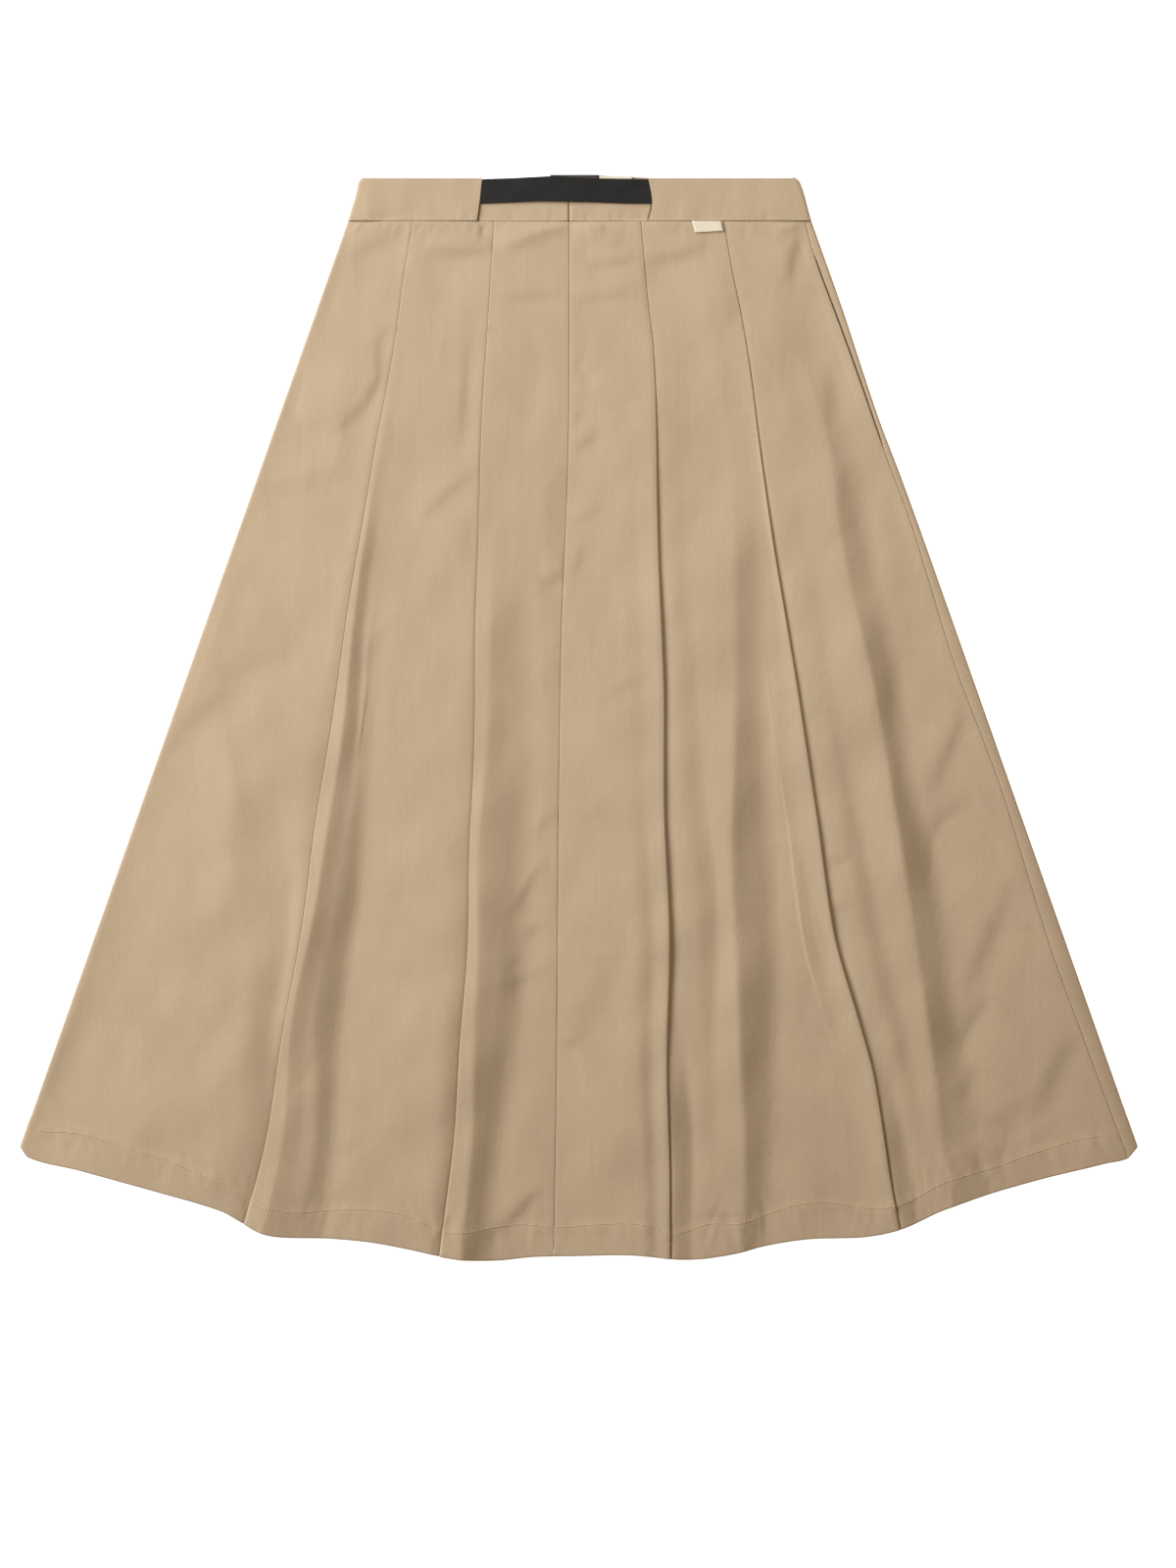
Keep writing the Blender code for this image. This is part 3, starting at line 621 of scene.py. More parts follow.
def loosen(x, drop, h, fade):
    # folds that neither run quite straight nor keep quite the same height
    sway = surfaceFeel["sway"] * slowWaves(x, drop, (90, 220), 41)
    swell = 1 + surfaceFeel["swell"] * slowWaves(x, drop, (55, 150), 42)
    return x + sway * fade, h * (1 + (swell - 1) * fade)


def puckers(x, fromEdge, deep, low, high, seed):
    # short creases across a line of stitches, uneven in width, length and depth
    chance = np.random.default_rng(seed)
    total = np.zeros_like(x)
    for _ in range(surfaceFeel["puckers"]):
        middle = chance.uniform(low, high)
        wide = chance.uniform(1.6, 4.2)
        slant = chance.uniform(-0.9, 0.5)
        slope = surfaceFeel["puckerSlope"] * chance.uniform(-1.0, 1.0)
        height = chance.uniform(0.4, 1.1) * deep
        centre = chance.uniform(0.5, 1.0) * deep
        off = (x - middle - slant * (fromEdge - deep)) / wide
        near = np.abs(off) < 4
        pucker = slope * wide * off * np.exp(-off * off)
        total[near] += (pucker * np.exp(-((fromEdge - centre) / height) ** 2))[near]
    return total


# front halves
foldDrops = (36, 130, 210, 290, 390, 490, 590, 690, 790, 900)
front = {
    "centreHeight": (1.4, 2.0, 2.0, 1.9, 1.8, 1.9, 1.9, 1.9, 2.3, 3.2),
    "leftEdgeHeight": (1.9, 1.9, 1.9, 1.9, 1.9, 2.1, 2.6, 3.2, 2.6, 2.0),
    "sideSeamHeight": (1.9, 1.9, 1.9, 2.1, 2.6, 3.2, 3.8, 4.2, 4.4, 4.4),
    "rows": 213,
    "columnWidth": 3.8,
    "columnDrop": 790,  # where a column has that width
    "pleatDepth": (18, 18, 18.5, 20, 21, 22, 23, 24, 25, 26),
    "layerStep": (0.8, 0.85, 0.9, 0.95, 1.0, 1.05, 1.1, 1.15, 1.5, 2.0),
    "centreGroove": 0.2,
    "sideGroove": 0.18,
    "grooveWidth": 1.0,
    "undertow": 3.0,  # how far a piece goes on under the side edge that it turns round
    "round": 6.0,  # how far to each side of a crest or valley the cloth bends
    "crisp": ((0.35, 0.1), (0.95, 0.3)),  # the close columns beside a sharp line
    "hemBelow": 600,  # no part of the hem lies above this drop
    "opening": {"drop": (62, 229), "ends": (8, 14)},  # of the pocket, and how fast it closes
}
pleats = {
    "left outer": {
        "drop": (36, 86, 125, 178, 227, 321, 391, 471, 530, 711, 795, 870, 900),
        "x": (-137.4, -145.6, -151.6, -160.6, -169.6, -185.3, -195.6, -207.9, -216.9, -243.9,
              -259.0, -278.0, -286.0),
        "edge": (2.5, 2.7, 3.0, 3.7, 5.4, 6.7, 8.3, 9.1, 7.2, 5.6),
        "step": (0.2, 0.1, -0.05, -0.1, -0.1, -0.05, 0.2, 0.8, 1.6, 1.6),
        "crisp": True,
        "foot": (0.8, 0.8, 0.8, 0.8, 0.8, 0.9, 1.1, 1.2, 1.2, 1.2),
    },
    "left inner": {
        "drop": (36, 86, 128, 223, 357, 448, 530, 711, 788, 843, 900),
        "x": (-69.5, -72.6, -75.5, -80.8, -84.6, -87.0, -87.6, -97.0, -101.4, -107.4, -114.0),
        "edge": (2.5, 2.7, 2.9, 3.3, 4.3, 6.2, 7.6, 8.4, 8.2, 8.0),
        "step": (0.2, 0.1, -0.05, -0.1, -0.1, 0.0, 0.3, 0.7, 1.3, 1.6),
        "crisp": True,
        "foot": (0.8, 0.8, 0.8, 0.8, 0.8, 0.9, 1.2, 1.8, 2.4, 2.8),
    },
    "right inner": {
        "drop": (36, 72, 106, 139, 221, 357, 471, 711, 755, 805, 864, 900),
        "x": (51.3, 54.5, 57.8, 61.1, 64.4, 67.7, 70.9, 74.0, 74.4, 74.8, 75.4, 76.0),
        "edge": (2.5, 2.8, 3.4, 5.4, 7.2, 8.4, 9.2, 9.6, 9.4, 8.4),
        "step": (0.3, 0.5, 1.1, 2.6, 3.2, 3.5, 4.0, 4.2, 1.6, 0.9),
        "foot": (0.7, 0.9, 1.3, 1.6, 1.9, 2.1, 2.3, 2.6, 2.6, 2.4),
    },
    "right outer": {
        "drop": (36, 72, 120, 165, 216, 286, 380, 471, 530, 629, 702, 755, 854, 900),
        "x": (120.5, 126.7, 135.7, 142.3, 148.8, 159.5, 174.3, 189.0, 198.0, 212.8, 232.0, 245.5,
              262.8, 270.0),
        "edge": (2.5, 2.8, 3.2, 4.2, 5.8, 6.8, 7.0, 7.0, 7.6, 7.2),
        "step": (0.3, 0.6, 1.2, 1.8, 2.4, 2.8, 3.2, 3.4, 2.0, 0.9),
        "foot": (0.7, 0.9, 1.2, 1.4, 1.7, 1.9, 2.1, 2.4, 2.6, 2.4),
    },
}
# Each row holds the x of a crest or valley at the drops in foldDrops, how high the cloth stands
# there, and its round.
folds = {
    "left centre": [
        ((-18, -25, -28, -28, -27, -25, -25, -28, -38, -46),
         (1.5, 2.6, 3.0, 2.8, 2.2, 2.0, 1.8, 1.7, 2.1, 2.9), 6.0),
        ((-29, -37, -41, -46, -46, -42, -46, -50, -65, -78),
         (1.7, 2.4, 2.5, 2.2, 1.6, 1.4, 0.6, 0.4, 1.0, 2.2), 8),
        ((-43, -50, -54, -58, -60, -60, -64, -68, -77, -88),
         (2.0, 2.55, 2.65, 2.7, 3.2, 4.0, 5.0, 6.4, 5.6, 5.6), 4),
        ((-56, -62, -66, -70, -74, -77, -83, -86, -88, -98),
         (2.3, 2.7, 2.8, 3.3, 5.2, 7.4, 9.0, 10.2, 9.8, 9.0), 2.5),
    ],
    "left middle": [
        ((-76, -84, -91, -93, -97, -99, -102, -108, -114, -125),
         (2.3, 2.5, 2.6, 3.0, 4.5, 6.4, 7.9, 8.8, 8.8, 7.6), 7),
        ((-107, -119, -133, -150, -166, -177, -184, -197, -206, -215),
         (2.3, 2.2, 2.1, 2.0, 2.0, 1.7, 0.7, 0.3, 0.6, 1.0), 6),
        ((-118, -133, -147, -159, -176, -184, -198, -217, -220, -234),
         (2.4, 2.5, 2.4, 2.2, 2.6, 3.0, 5.2, 6.6, 5.0, 3.6), 4),
        ((-127, -141, -155, -168, -180, -190, -206, -223, -232, -246),
         (2.45, 2.6, 2.5, 2.4, 2.9, 3.8, 6.8, 7.2, 5.8, 4.6), 3),
        ((-134, -149, -163, -177, -189, -201, -217, -236, -246, -269),
         (2.5, 2.7, 3.1, 4.1, 6.0, 7.9, 9.5, 9.8, 8.6, 7.0), 1.5),
    ],
    "left side": [
        ((-144, -160, -177, -193, -218, -250, -242, -251, -265.5, -291),
         (2.2, 2.3, 2.4, 2.8, 3.9, 4.9, 5.8, 6.0, 7.0, 5.2), 5),
        ((-152, -173, -193, -214, -238, -284, -283, -276, -279, -303),
         (2.1, 2.3, 2.3, 2.5, 3.2, 4.4, 7.6, 8.6, 8.2, 6.2), 7),
        ((-187, -219, -245, -273, -302, -338, -371, -400, -442, -474),
         (1.9, 1.9, 1.9, 2.0, 2.0, 1.9, 1.6, 1.2, 1.6, 1.6), 14),
    ],
    "right centre": [
        ((24, 31, 34, 37, 41, 45, 48, 51, 55, 58),
         (1.8, 2.5, 2.8, 3.6, 5.2, 6.6, 7.8, 8.4, 8.6, 8.2), 5),
        ((34, 41, 46, 49, 52, 55, 59, 61, 62, 63),
         (2.0, 2.6, 2.9, 3.8, 5.4, 6.6, 7.0, 7.2, 7.0, 6.8), 4),
    ],
    "right middle": [
        ((59, 66, 70, 73, 76, 80, 84, 86, 94, 94),
         (2.3, 2.45, 2.5, 3.3, 4.8, 5.8, 6.4, 6.6, 4.2, 4.0), 3),
        ((67, 75, 78, 80, 82, 87, 96, 100, 103, 104),
         (2.3, 2.5, 2.6, 3.5, 5.1, 6.4, 7.4, 7.6, 5.8, 5.0), 5),
        ((82, 90, 91, 90, 95, 102, 113, 114, 114, 114),
         (2.3, 2.5, 2.7, 3.3, 4.4, 5.2, 5.4, 5.8, 6.0, 5.4), 4),
        ((94, 108, 124, 131, 131, 130, 128, 134, 137, 137),
         (2.4, 2.8, 3.7, 5.2, 7.0, 8.4, 9.3, 9.3, 8.5, 6.4), 3),
        ((106, 121, 141, 150, 150, 155, 160, 165, 158, 150),
         (2.4, 2.6, 2.8, 2.9, 2.4, 1.2, 0.3, 0.2, 1.0, 2.6), 8),
        ((113, 128, 144, 155, 165, 169, 182, 201, 222, 238),
         (2.45, 2.7, 2.85, 3.2, 4.0, 3.7, 3.0, 3.2, 4.3, 4.6), 9),
        ((116, 132, 146, 157, 169, 176, 190, 212, 231, 248),
         (2.5, 2.7, 2.9, 3.2, 4.2, 3.8, 3.1, 3.2, 4.4, 4.6), 9),
    ],
    "right side": [
        ((125, 141, 150, 165, 184, 200, 217, 238, 268, 290),
         (2.3, 2.5, 2.5, 3.2, 4.3, 4.9, 5.0, 5.0, 3.4, 3.4), 4),
        ((129, 146, 159, 176, 195, 213, 232, 252, 280, 299),
         (2.3, 2.6, 2.6, 3.5, 4.8, 5.7, 6.3, 6.4, 4.9, 4.4), 5),
        ((136, 154, 172, 188, 206, 224, 246, 266, 288, 305),
         (2.2, 2.6, 2.9, 3.6, 4.6, 4.5, 4.3, 4.6, 5.0, 4.9), 5),
        ((147, 179, 205, 217, 237, 257, 274, 288, 303, 314),
         (2.2, 3.1, 4.8, 6.2, 7.6, 8.8, 9.0, 8.0, 6.8, 5.6), 3),
        ((164, 199, 222, 239, 258, 272, 297, 311, 332, 350),
         (2.1, 1.8, 1.1, 0.6, 0.6, 0.9, 0.3, 0.3, 0.9, 1.9), 8),
    ],
}
grid = np.arange(30.0, 931.0, 1.0)  # the drops where the lines are worked out
rollAngles = (70, 45, 20, 0, -20, -45, -70, -90)


def atGrid(values):
    return through(foldDrops, values)(grid)


layerStep, pleatDepth = atGrid(front["layerStep"]), atGrid(front["pleatDepth"])
sideHeight, leftHeight = atGrid(front["sideSeamHeight"]), atGrid(front["leftEdgeHeight"])


def foldLines(name):
    return [{"x": atGrid(x), "h": atGrid(h), "round": bend} for x, h, bend in folds[name]]


def acrossLines(lines, out):
    # Columns from the first line to the last. The cloth runs straight from line to line and
    # bends at each within its "round", so a small one makes a pressed crest.
    x = np.stack([line["x"] for line in lines])
    h = np.stack([line["h"] for line in lines])
    gaps = np.maximum(out * np.diff(x, axis=0), 0.05)
    slopes = np.diff(h, axis=0) / gaps
    bends = np.zeros_like(h)
    bends[1:-1] = np.diff(slopes, axis=0)
    rounds = np.ones_like(h)
    for i in range(1, len(lines) - 1):
        bend = lines[i].get("round", front["round"])
        rounds[i] = np.minimum(bend, 0.9 * np.minimum(gaps[i - 1], gaps[i]))
    widthAt = np.searchsorted(grid, front["columnDrop"])

    def bendHeight(i, off):
        return bends[i] * np.maximum(rounds[i] - off, 0) ** 2 / (4 * rounds[i])

    columns = [(x[0], h[0])]
    for i in range(len(lines) - 1):
        parts = max(1, math.ceil(gaps[i][widthAt] / front["columnWidth"]))
        offs = [gaps[i] * part / parts for part in range(1, parts + 1)]
        closest = 0.6 * gaps[i] / parts
        if i > 0:
            offs.insert(0, np.minimum(0.6 * rounds[i], closest))
        if i < len(lines) - 2:
            offs.insert(-1, gaps[i] - np.minimum(0.6 * rounds[i + 1], closest))
        # close columns keep the shading of a sharp line from spreading over the cloth beside it
        close = [np.minimum(most, share * closest) for most, share in front["crisp"]]
        if lines[i].get("crisp"):
            offs[:1] = close + ([] if i > 0 else offs[:1])
        if lines[i + 1].get("crisp"):
            offs[-1:-1] = [gaps[i] - off for off in reversed(close)]
        for off in offs:
            height = h[i] + slopes[i] * off + bendHeight(i, off) + bendHeight(i + 1, gaps[i] - off)
            columns.append((x[i] + out * off, height))
    return columns


def pleatLines(name, out):
    table = pleats[name]
    edgeX = curve(table)(grid)
    edge = {"x": edgeX, "h": atGrid(table["edge"])}
    step, footOut = atGrid(table["step"]), atGrid(table["foot"])
    under = {"x": edgeX - out * 0.2, "h": edge["h"] - 2 * layerStep - 0.1}
    foot = {"x": edgeX + out * footOut, "h": edge["h"] - step}
    edge["crisp"] = foot["crisp"] = table.get("crisp", False)
    turnH = np.maximum(0.0, np.minimum(under["h"], edge["h"] * 0.5 - 2 * layerStep))
    turn = {"x": edgeX - out * pleatDepth, "h": turnH}
    return {"edge": edge, "turn": turn, "under": under, "foot": foot}


def pleatColumns(lines, out):
    # from the pleat's edge back under it, round the hidden turn and out again underneath
    radius = layerStep / 2
    edge, turn, under = lines["edge"], lines["turn"], lines["under"]
    shares = [part / 6 for part in range(1, 6)]
    columns = []
    for angle in (50, 15, -20, -55, -90):
        c, s = math.cos(math.radians(angle)), math.sin(math.radians(angle))
        columns.append((edge["x"] + out * radius * c, edge["h"] - radius + radius * s))
    high, low = edge["h"] - layerStep, turn["h"] + layerStep
    for t in shares:
        columns.append((edge["x"] + t * (turn["x"] - edge["x"]), high + t * (low - high)))
    for angle in (90, 45, 0, -45, -90):
        c, s = math.cos(math.radians(angle)), math.sin(math.radians(angle))
        columns.append((turn["x"] - out * radius * c, turn["h"] + radius + radius * s))
    for t in shares:
        columns.append(tuple(turn[key] + t * (under[key] - turn[key]) for key in "xh"))
    return columns


def overHidden(lines, columns, out):
    # no column of the top layer sinks into the layers that the pleat hides beneath it
    kept = []
    soft = 0.25
    for x, h in columns:
        inwards = out * (lines["edge"]["x"] - x)
        cover = smooth((pleatDepth + 7 - inwards) / 5)
        floor = 2 * layerStep * cover * (inwards > -0.01)
        lowest = floor + 0.05 + (lines["turn"]["h"] * cover)
        raised = lowest + soft * np.logaddexp(0, (h - lowest) / soft)
        kept.append((x, raised - soft * 0.69 * np.exp(-np.abs(h - lowest) / 0.6)))
    return kept


def frontColumns(side, out, lastLines):
    inner = pleatLines(side + " inner", out)
    outer = pleatLines(side + " outer", out)
    seamX = centreSeam(grid) + out * skirt["seamGap"] / 2
    seamH = atGrid(front["centreHeight"])
    shoulder = {"x": seamX + out * front["grooveWidth"], "h": seamH, "crisp": True}
    seam = {"x": seamX, "h": seamH - front["centreGroove"]}
    centre = acrossLines([seam, shoulder, *foldLines(side + " centre"), inner["edge"]], out)
    middle = [inner["under"], inner["foot"], *foldLines(side + " middle"), outer["edge"]]
    middle = acrossLines(middle, out)
    last = acrossLines([outer["under"], outer["foot"], *foldLines(side + " side"), *lastLines], out)
    return [*overHidden(inner, centre, out), *pleatColumns(inner, out),
            *middle[:2], *overHidden(outer, middle[2:], out), *pleatColumns(outer, out), *last]


def rowShares(rows):
    # finer next to the waist seam and the hem
    inner = np.linspace(0, 1, rows - 5)
    step = inner[1]
    extra = [0.25 * step, 0.55 * step, 1 - 0.3 * step, step * 1.5, 1 - 0.65 * step]
    return np.sort(np.concatenate([inner, extra]))


def rowsDown(columns, hem, shares):
    # x, drop and height at each row, from the waist seam to where each column meets the hem
    top = skirt["waistDrop"] + skirt["seamGap"] / 2
    x, h = (np.stack(values, axis=1) for values in zip(*columns))
    drops = np.zeros((len(shares), x.shape[1]))
    outX, outH = np.zeros_like(drops), np.zeros_like(drops)
    low = grid > front["hemBelow"]
    for i in range(x.shape[1]):
        past = grid - hem(x[:, i])
        meets = np.interp(0.0, past[low], grid[low])
        drops[:, i] = top + (meets - top) * shares
        outX[:, i] = np.interp(drops[:, i], grid, x[:, i])
        outH[:, i] = np.interp(drops[:, i], grid, h[:, i])
    return outX, drops, outH


def hemShape(x, drops):
    # how far each point lies above its column's hem edge, and the cloth's thickness there
    above = drops[-1][None, :] - drops
    turned = smooth((hemDepth(x) + 1.0 - above) / 2.0)
    return above, skirt["clothThick"] + (skirt["hemThick"] - skirt["clothThick"]) * turned


def surfaceRelief(x, drop, above, edgeFade):
    low, high = float(x.min()), float(x.max())
    relief = creaseRelief(x, drop, creases + looseCreases()) + unevenness(x, drop)
    relief += puckers(x, above, surfaceFeel["hemPuckers"], low, high, 21)
    below = drop - skirt["waistDrop"]
    relief += 0.5 * puckers(x, below, surfaceFeel["waistPuckers"], low, high, 22)
    height, width = surfaceFeel["hemRidge"]
    relief += height * np.exp(-((above - hemDepth(x)) / width) ** 2)
    relief *= np.clip(below / 6, 0, 1)
    beside = smooth((np.abs(x + 13) - 68) / 14)
    relief += surfaceFeel["bandRise"] * beside * np.exp(-(below / 10) ** 2)
    relief -= surfaceFeel["seamDip"] * np.exp(-below / 1.0)
    return relief * edgeFade


def edgeReach(topZ):
    # how far in from the outline a side edge's rounding begins
    return np.minimum((topZ - skirt["backZ"]) / 2, skirt["edgeRound"]) + skirt["clothThick"] / 2


def edgeRoll(edgeX, out, topZ, bottomZ, wall, angles):
    # columns round a side edge, pressed flatter than round, whose outer face reaches the outline
    radius = (topZ - bottomZ) / 2
    middle = (topZ + bottomZ) / 2
    narrow = np.minimum(radius, skirt["edgeRound"])
    columns = []
    for angle in angles:
        c, s = math.cos(math.radians(angle)), math.sin(math.radians(angle))
        columns.append((edgeX + out * (narrow * c - narrow - wall / 2), middle + radius * s))
    return columns


def frontHalf(side, out, lastLines, roll=()):
    # the relief fades out towards the side, and what turns round the edge is left plain
    columns = frontColumns(side, out, lastLines)
    flat = len(columns)
    x, drop, h = rowsDown([*columns, *roll], frontHem, rowShares(front["rows"]))
    above, thick = hemShape(x, drop)
    toSide = out * (x[:, flat - 1:flat] - x)
    inside = np.minimum(np.abs(x - centreSeam(drop)), toSide)
    x, h = loosen(x, drop, h, smooth(inside / 30) * smooth((drop - 60) / 60))
    fade = np.clip(out * (x[:, flat - 1:flat] - x) / 9, 0, 1)
    fade[:, flat:] = 0
    z = skirt["frontZ"] + (h + surfaceRelief(x, drop, above, fade))
    thick = np.where(np.arange(x.shape[1]) >= flat + 6, skirt["clothThick"], thick)
    return clothSheet("cloth_front_" + side, x, drop, z, thick, twill)


def frontLeft():
    topZ = skirt["frontZ"] + leftHeight
    edgeX = leftEdge(grid)
    topX = edgeX + edgeReach(topZ)
    roll = edgeRoll(edgeX, -1, topZ, skirt["backZ"], skirt["clothThick"], rollAngles)
    roll.append((topX + front["undertow"], np.full_like(grid, skirt["backZ"])))
    roll = [(x, z - skirt["frontZ"]) for x, z in roll]
    return frontHalf("left", -1, [{"x": topX, "h": leftHeight}], roll)


def pocketOpening():
    # 1 along the opening, and nothing above and below it
    (top, foot), ends = front["opening"]["drop"], front["opening"]["ends"]
    return smooth((grid - top) / ends[0]) * smooth((foot - grid) / ends[1])


def frontRight():
    # the pocket opening's lip stands a little proud, and gapes most at its middle
    top, foot = front["opening"]["drop"]
    bowed = 0.4 * np.sin(np.pi * np.clip((grid - top) / (foot - top), 0, 1)) + 0.6
    seamX = sideSeam(grid) - skirt["seamGap"] / 2 - 0.3 * pocketOpening() * bowed
    shoulder = {"x": seamX - front["grooveWidth"], "h": sideHeight + 0.7 * pocketOpening() * bowed}
    edge = {"x": seamX, "h": sideHeight - front["sideGroove"] + 0.6 * pocketOpening() * bowed}
    return frontHalf("right", 1, [shoulder, edge])


leftHalf = frontLeft()
rightHalf = frontRight()
print("front halves made:", len(leftHalf.data.polygons), len(rightHalf.data.polygons))


# back panel, which wraps round the right edge to the side seam
back = {"parts": 130, "rows": 180, "wrapThick": 1.1}


def backPanel():
    topZ = skirt["frontZ"] + sideHeight
    underLeft = edgeReach(skirt["frontZ"] + leftHeight) + front["undertow"] + skirt["seamGap"]
    startX = leftEdge(grid) + underLeft
    endX = rightEdge(grid) - edgeReach(topZ)
    low = np.full_like(grid, skirt["backZ"])
    across = [part / back["parts"] for part in range(back["parts"] + 1)]
    floor = [(startX + share * (endX - startX), low) for share in across]
    angles = [-angle for angle in rollAngles]
    wrap = edgeRoll(rightEdge(grid), 1, topZ, skirt["backZ"], skirt["clothThick"], angles)
    seamX = sideSeam(grid) + skirt["seamGap"] / 2
    wrap.append((seamX + front["grooveWidth"], topZ - 0.5 * pocketOpening()))
    wrap.append((seamX, topZ - front["sideGroove"] - 0.8 * pocketOpening()))
    shares = rowShares(back["rows"])
    halves = zip(rowsDown(floor, backHem, shares), rowsDown(wrap, frontHem, shares))
    x, drop, z = (np.concatenate(half, axis=1) for half in halves)
    above, thick = hemShape(x, drop)
    count = len(floor)
    z[:, :count] += (thick[:, :count] - skirt["clothThick"]) / 2  # the underside stays flat
    wrapped = np.arange(x.shape[1]) >= count + 3
    thick = np.where(wrapped, np.minimum(thick, back["wrapThick"]), thick)
    return clothSheet("cloth_back", x, drop, z, thick, twill)


backCloth = backPanel()
print("back made")


# waistband
band = {
    "thick": 1.8,
    "backZ": 0.95,
    "frontZ": 6.0,
    "centreZ": 4.5,
    "centreThick": 1.5,
    "left": {
        "drop": (0, 1.5, 3.5, 14, 27, 36),
        "x": (-180.6, -183.0, -184.5, -186.8, -190.7, -193.3),
    },
    "right": {
        "drop": (0, 1.5, 3.5, 14, 27, 36),
        "x": (181.0, 183.4, 185.0, 188.8, 192.2, 194.8),
    },
    "slotLeft": {"drop": (0, 22, 36), "x": (-80.6, -83.0, -85.0)},
    "slotRight": {"drop": (0, 22, 36), "x": (58.4, 61.4, 58.0)},
    "backTop": {
        "x": (-200, -60, -32, -8, 14, 34, 56, 90, 200),
        "drop": (0.7, 0.6, -0.6, -2.6, -3.0, -2.4, -1.2, 0.6, 0.7),
    },
    "centreTop": 1.5,
    "undertow": 3.0,
    "stitchUp": 1.5,  # the topstitching's height above the waist seam
    "parts": {"left": 46, "right": 56, "centre": 30, "back": 100},
}
bandRows = np.array((0, 0.5, 1.1, 2, 3.5, 6, 9, 12, 15, 18, 21, 24, 27, 29, 30.5, 31.5, 32.3, 33,
                     33.6, 34.3, 35, 35.6))
bandCreases = [
    (((-150, 12), (-115, 10)), 3.5, 0.3),
    (((-178, 31), (-150, 28), (-132, 26)), 3.0, 0.35),
    (((-126, 20), (-120, 33)), 2.5, 0.25),
    (((112, 34), (118, 22), (124, 14)), 3.0, 0.3),
    (((150, 30), (172, 26)), 3.0, 0.3),
    (((66, 26), (78, 33)), 2.5, 0.3),
]


def bandRelief(x, drop, seed):
    fromSeam = skirt["waistDrop"] - drop
    wide = x * 1.6
    relief = 0.22 * puckers(wide, fromSeam, 6.0, float(x.min()) * 1.6, float(x.max()) * 1.6, seed)
    relief += 1.2 * unevenness(x * 1.3, drop * 1.3 + 40)
    relief -= 0.12 * np.exp(-((fromSeam - band["stitchUp"]) / 0.8) ** 2)
    return relief * np.clip(fromSeam / 1.0, 0, 1)


def bandSide(side, slotX, out, seed):
    slot, edge = slotX(bandRows), curve(band[side])(bandRows)
    top = edge - out * (skirt["edgeRound"] + band["thick"] / 2)
    parts = band["parts"][side]
    shares = [0.0, 0.003, 0.01] + [part / parts for part in range(1, parts + 1)]
    high, low = np.full_like(bandRows, band["frontZ"]), np.full_like(bandRows, band["backZ"])
    columns = [(slot + share * (top - slot), high) for share in shares]
    flat = len(columns)
    columns += edgeRoll(edge, out, high, low, band["thick"], rollAngles)
    columns.append((top + out * -band["undertow"], low))
    x, z = (np.stack(values, axis=1) for values in zip(*columns))
    drop = downRows(bandRows, x.shape[1])
    fade = np.clip(out * (x[:, flat - 1:flat] - x) / 8, 0, 1)
    fade[:, flat:] = 0
    z = z + fade * (bandRelief(x, drop, seed) + creaseRelief(x, drop, bandCreases))
    return clothSheet("band_" + side, x, drop, z, band["thick"], twill)


def bandCentre(side, first, last, seed):
    # under the strap, from the slot to the seam or the other way round
    parts = band["parts"]["centre"]
    x = np.stack([first + part / parts * (last - first) for part in range(parts + 1)], axis=1)
    drop = downRows(centreRows, x.shape[1])
    z = band["centreZ"] + bandRelief(x, drop, seed) * smooth((drop - 21) / 3)
    return clothSheet("band_centre_" + side, x, drop, z, band["centreThick"], twill)


def bandBack():
    inset = skirt["edgeRound"] + band["thick"] / 2 + band["undertow"] + skirt["seamGap"]
    left, right = curve(band["left"]), curve(band["right"])
    bottom = skirt["waistDrop"] - skirt["seamGap"] / 2
    down = ((bandRows - bandRows[0]) / (bandRows[-1] - bandRows[0]))[:, None]
    share = np.arange(band["parts"]["back"] + 1) / band["parts"]["back"]
    first, last = left(0.0) + inset, right(0.0) - inset
    top = curve(band["backTop"], "x", "drop")(first + share * (last - first))
    drop = top + down * (bottom - top)
    first, last = left(drop) + inset, right(drop) - inset
    x = first + share * (last - first)
    return clothSheet("band_back", x, drop, np.full_like(x, band["backZ"]), band["thick"], twill)


slotLeft, slotRight = curve(band["slotLeft"]), curve(band["slotRight"])
seamAtBand = float(centreSeam(skirt["waistDrop"]))
bandLeftPiece = bandSide("left", slotLeft, -1, 31)
bandRightPiece = bandSide("right", slotRight, 1, 32)
centreRows = np.concatenate([[band["centreTop"]], bandRows[bandRows > band["centreTop"]]])
besideSeam = np.full_like(centreRows, seamAtBand)
bandCentreLeft = bandCentre("left", slotLeft(centreRows) + skirt["seamGap"],
                            besideSeam - skirt["seamGap"] / 2, 33)
bandCentreRight = bandCentre("right", besideSeam + skirt["seamGap"] / 2,
                             slotRight(centreRows) - skirt["seamGap"], 34)
bandBackPiece = bandBack()
print("waistband made")


# strap, labels and pocket bag
strap = {
    "thick": 1.2,
    "z": 6.1,
    "top": {"x": (-82, -56, -32, -22, 8, 60), "drop": (0.9, 0.2, -0.9, -1.2, 0.2, 0.9)},
    "bottom": {
        "x": (-82, -56, -32, -8, 14, 35, 60),
        "drop": (21.3, 20.2, 19.2, 19.6, 20.1, 21.0, 21.3),
    },
    "lift": {"x": (-82, -60, -15, 30, 60), "z": (0, 0.5, 1.7, 0.3, 0)},
    "width": 20.0,
    "parts": 60,
    "rows": 13,
    "crown": 0.25,  # how much its middle stands above its edges
    "ripple": 0.12,
}


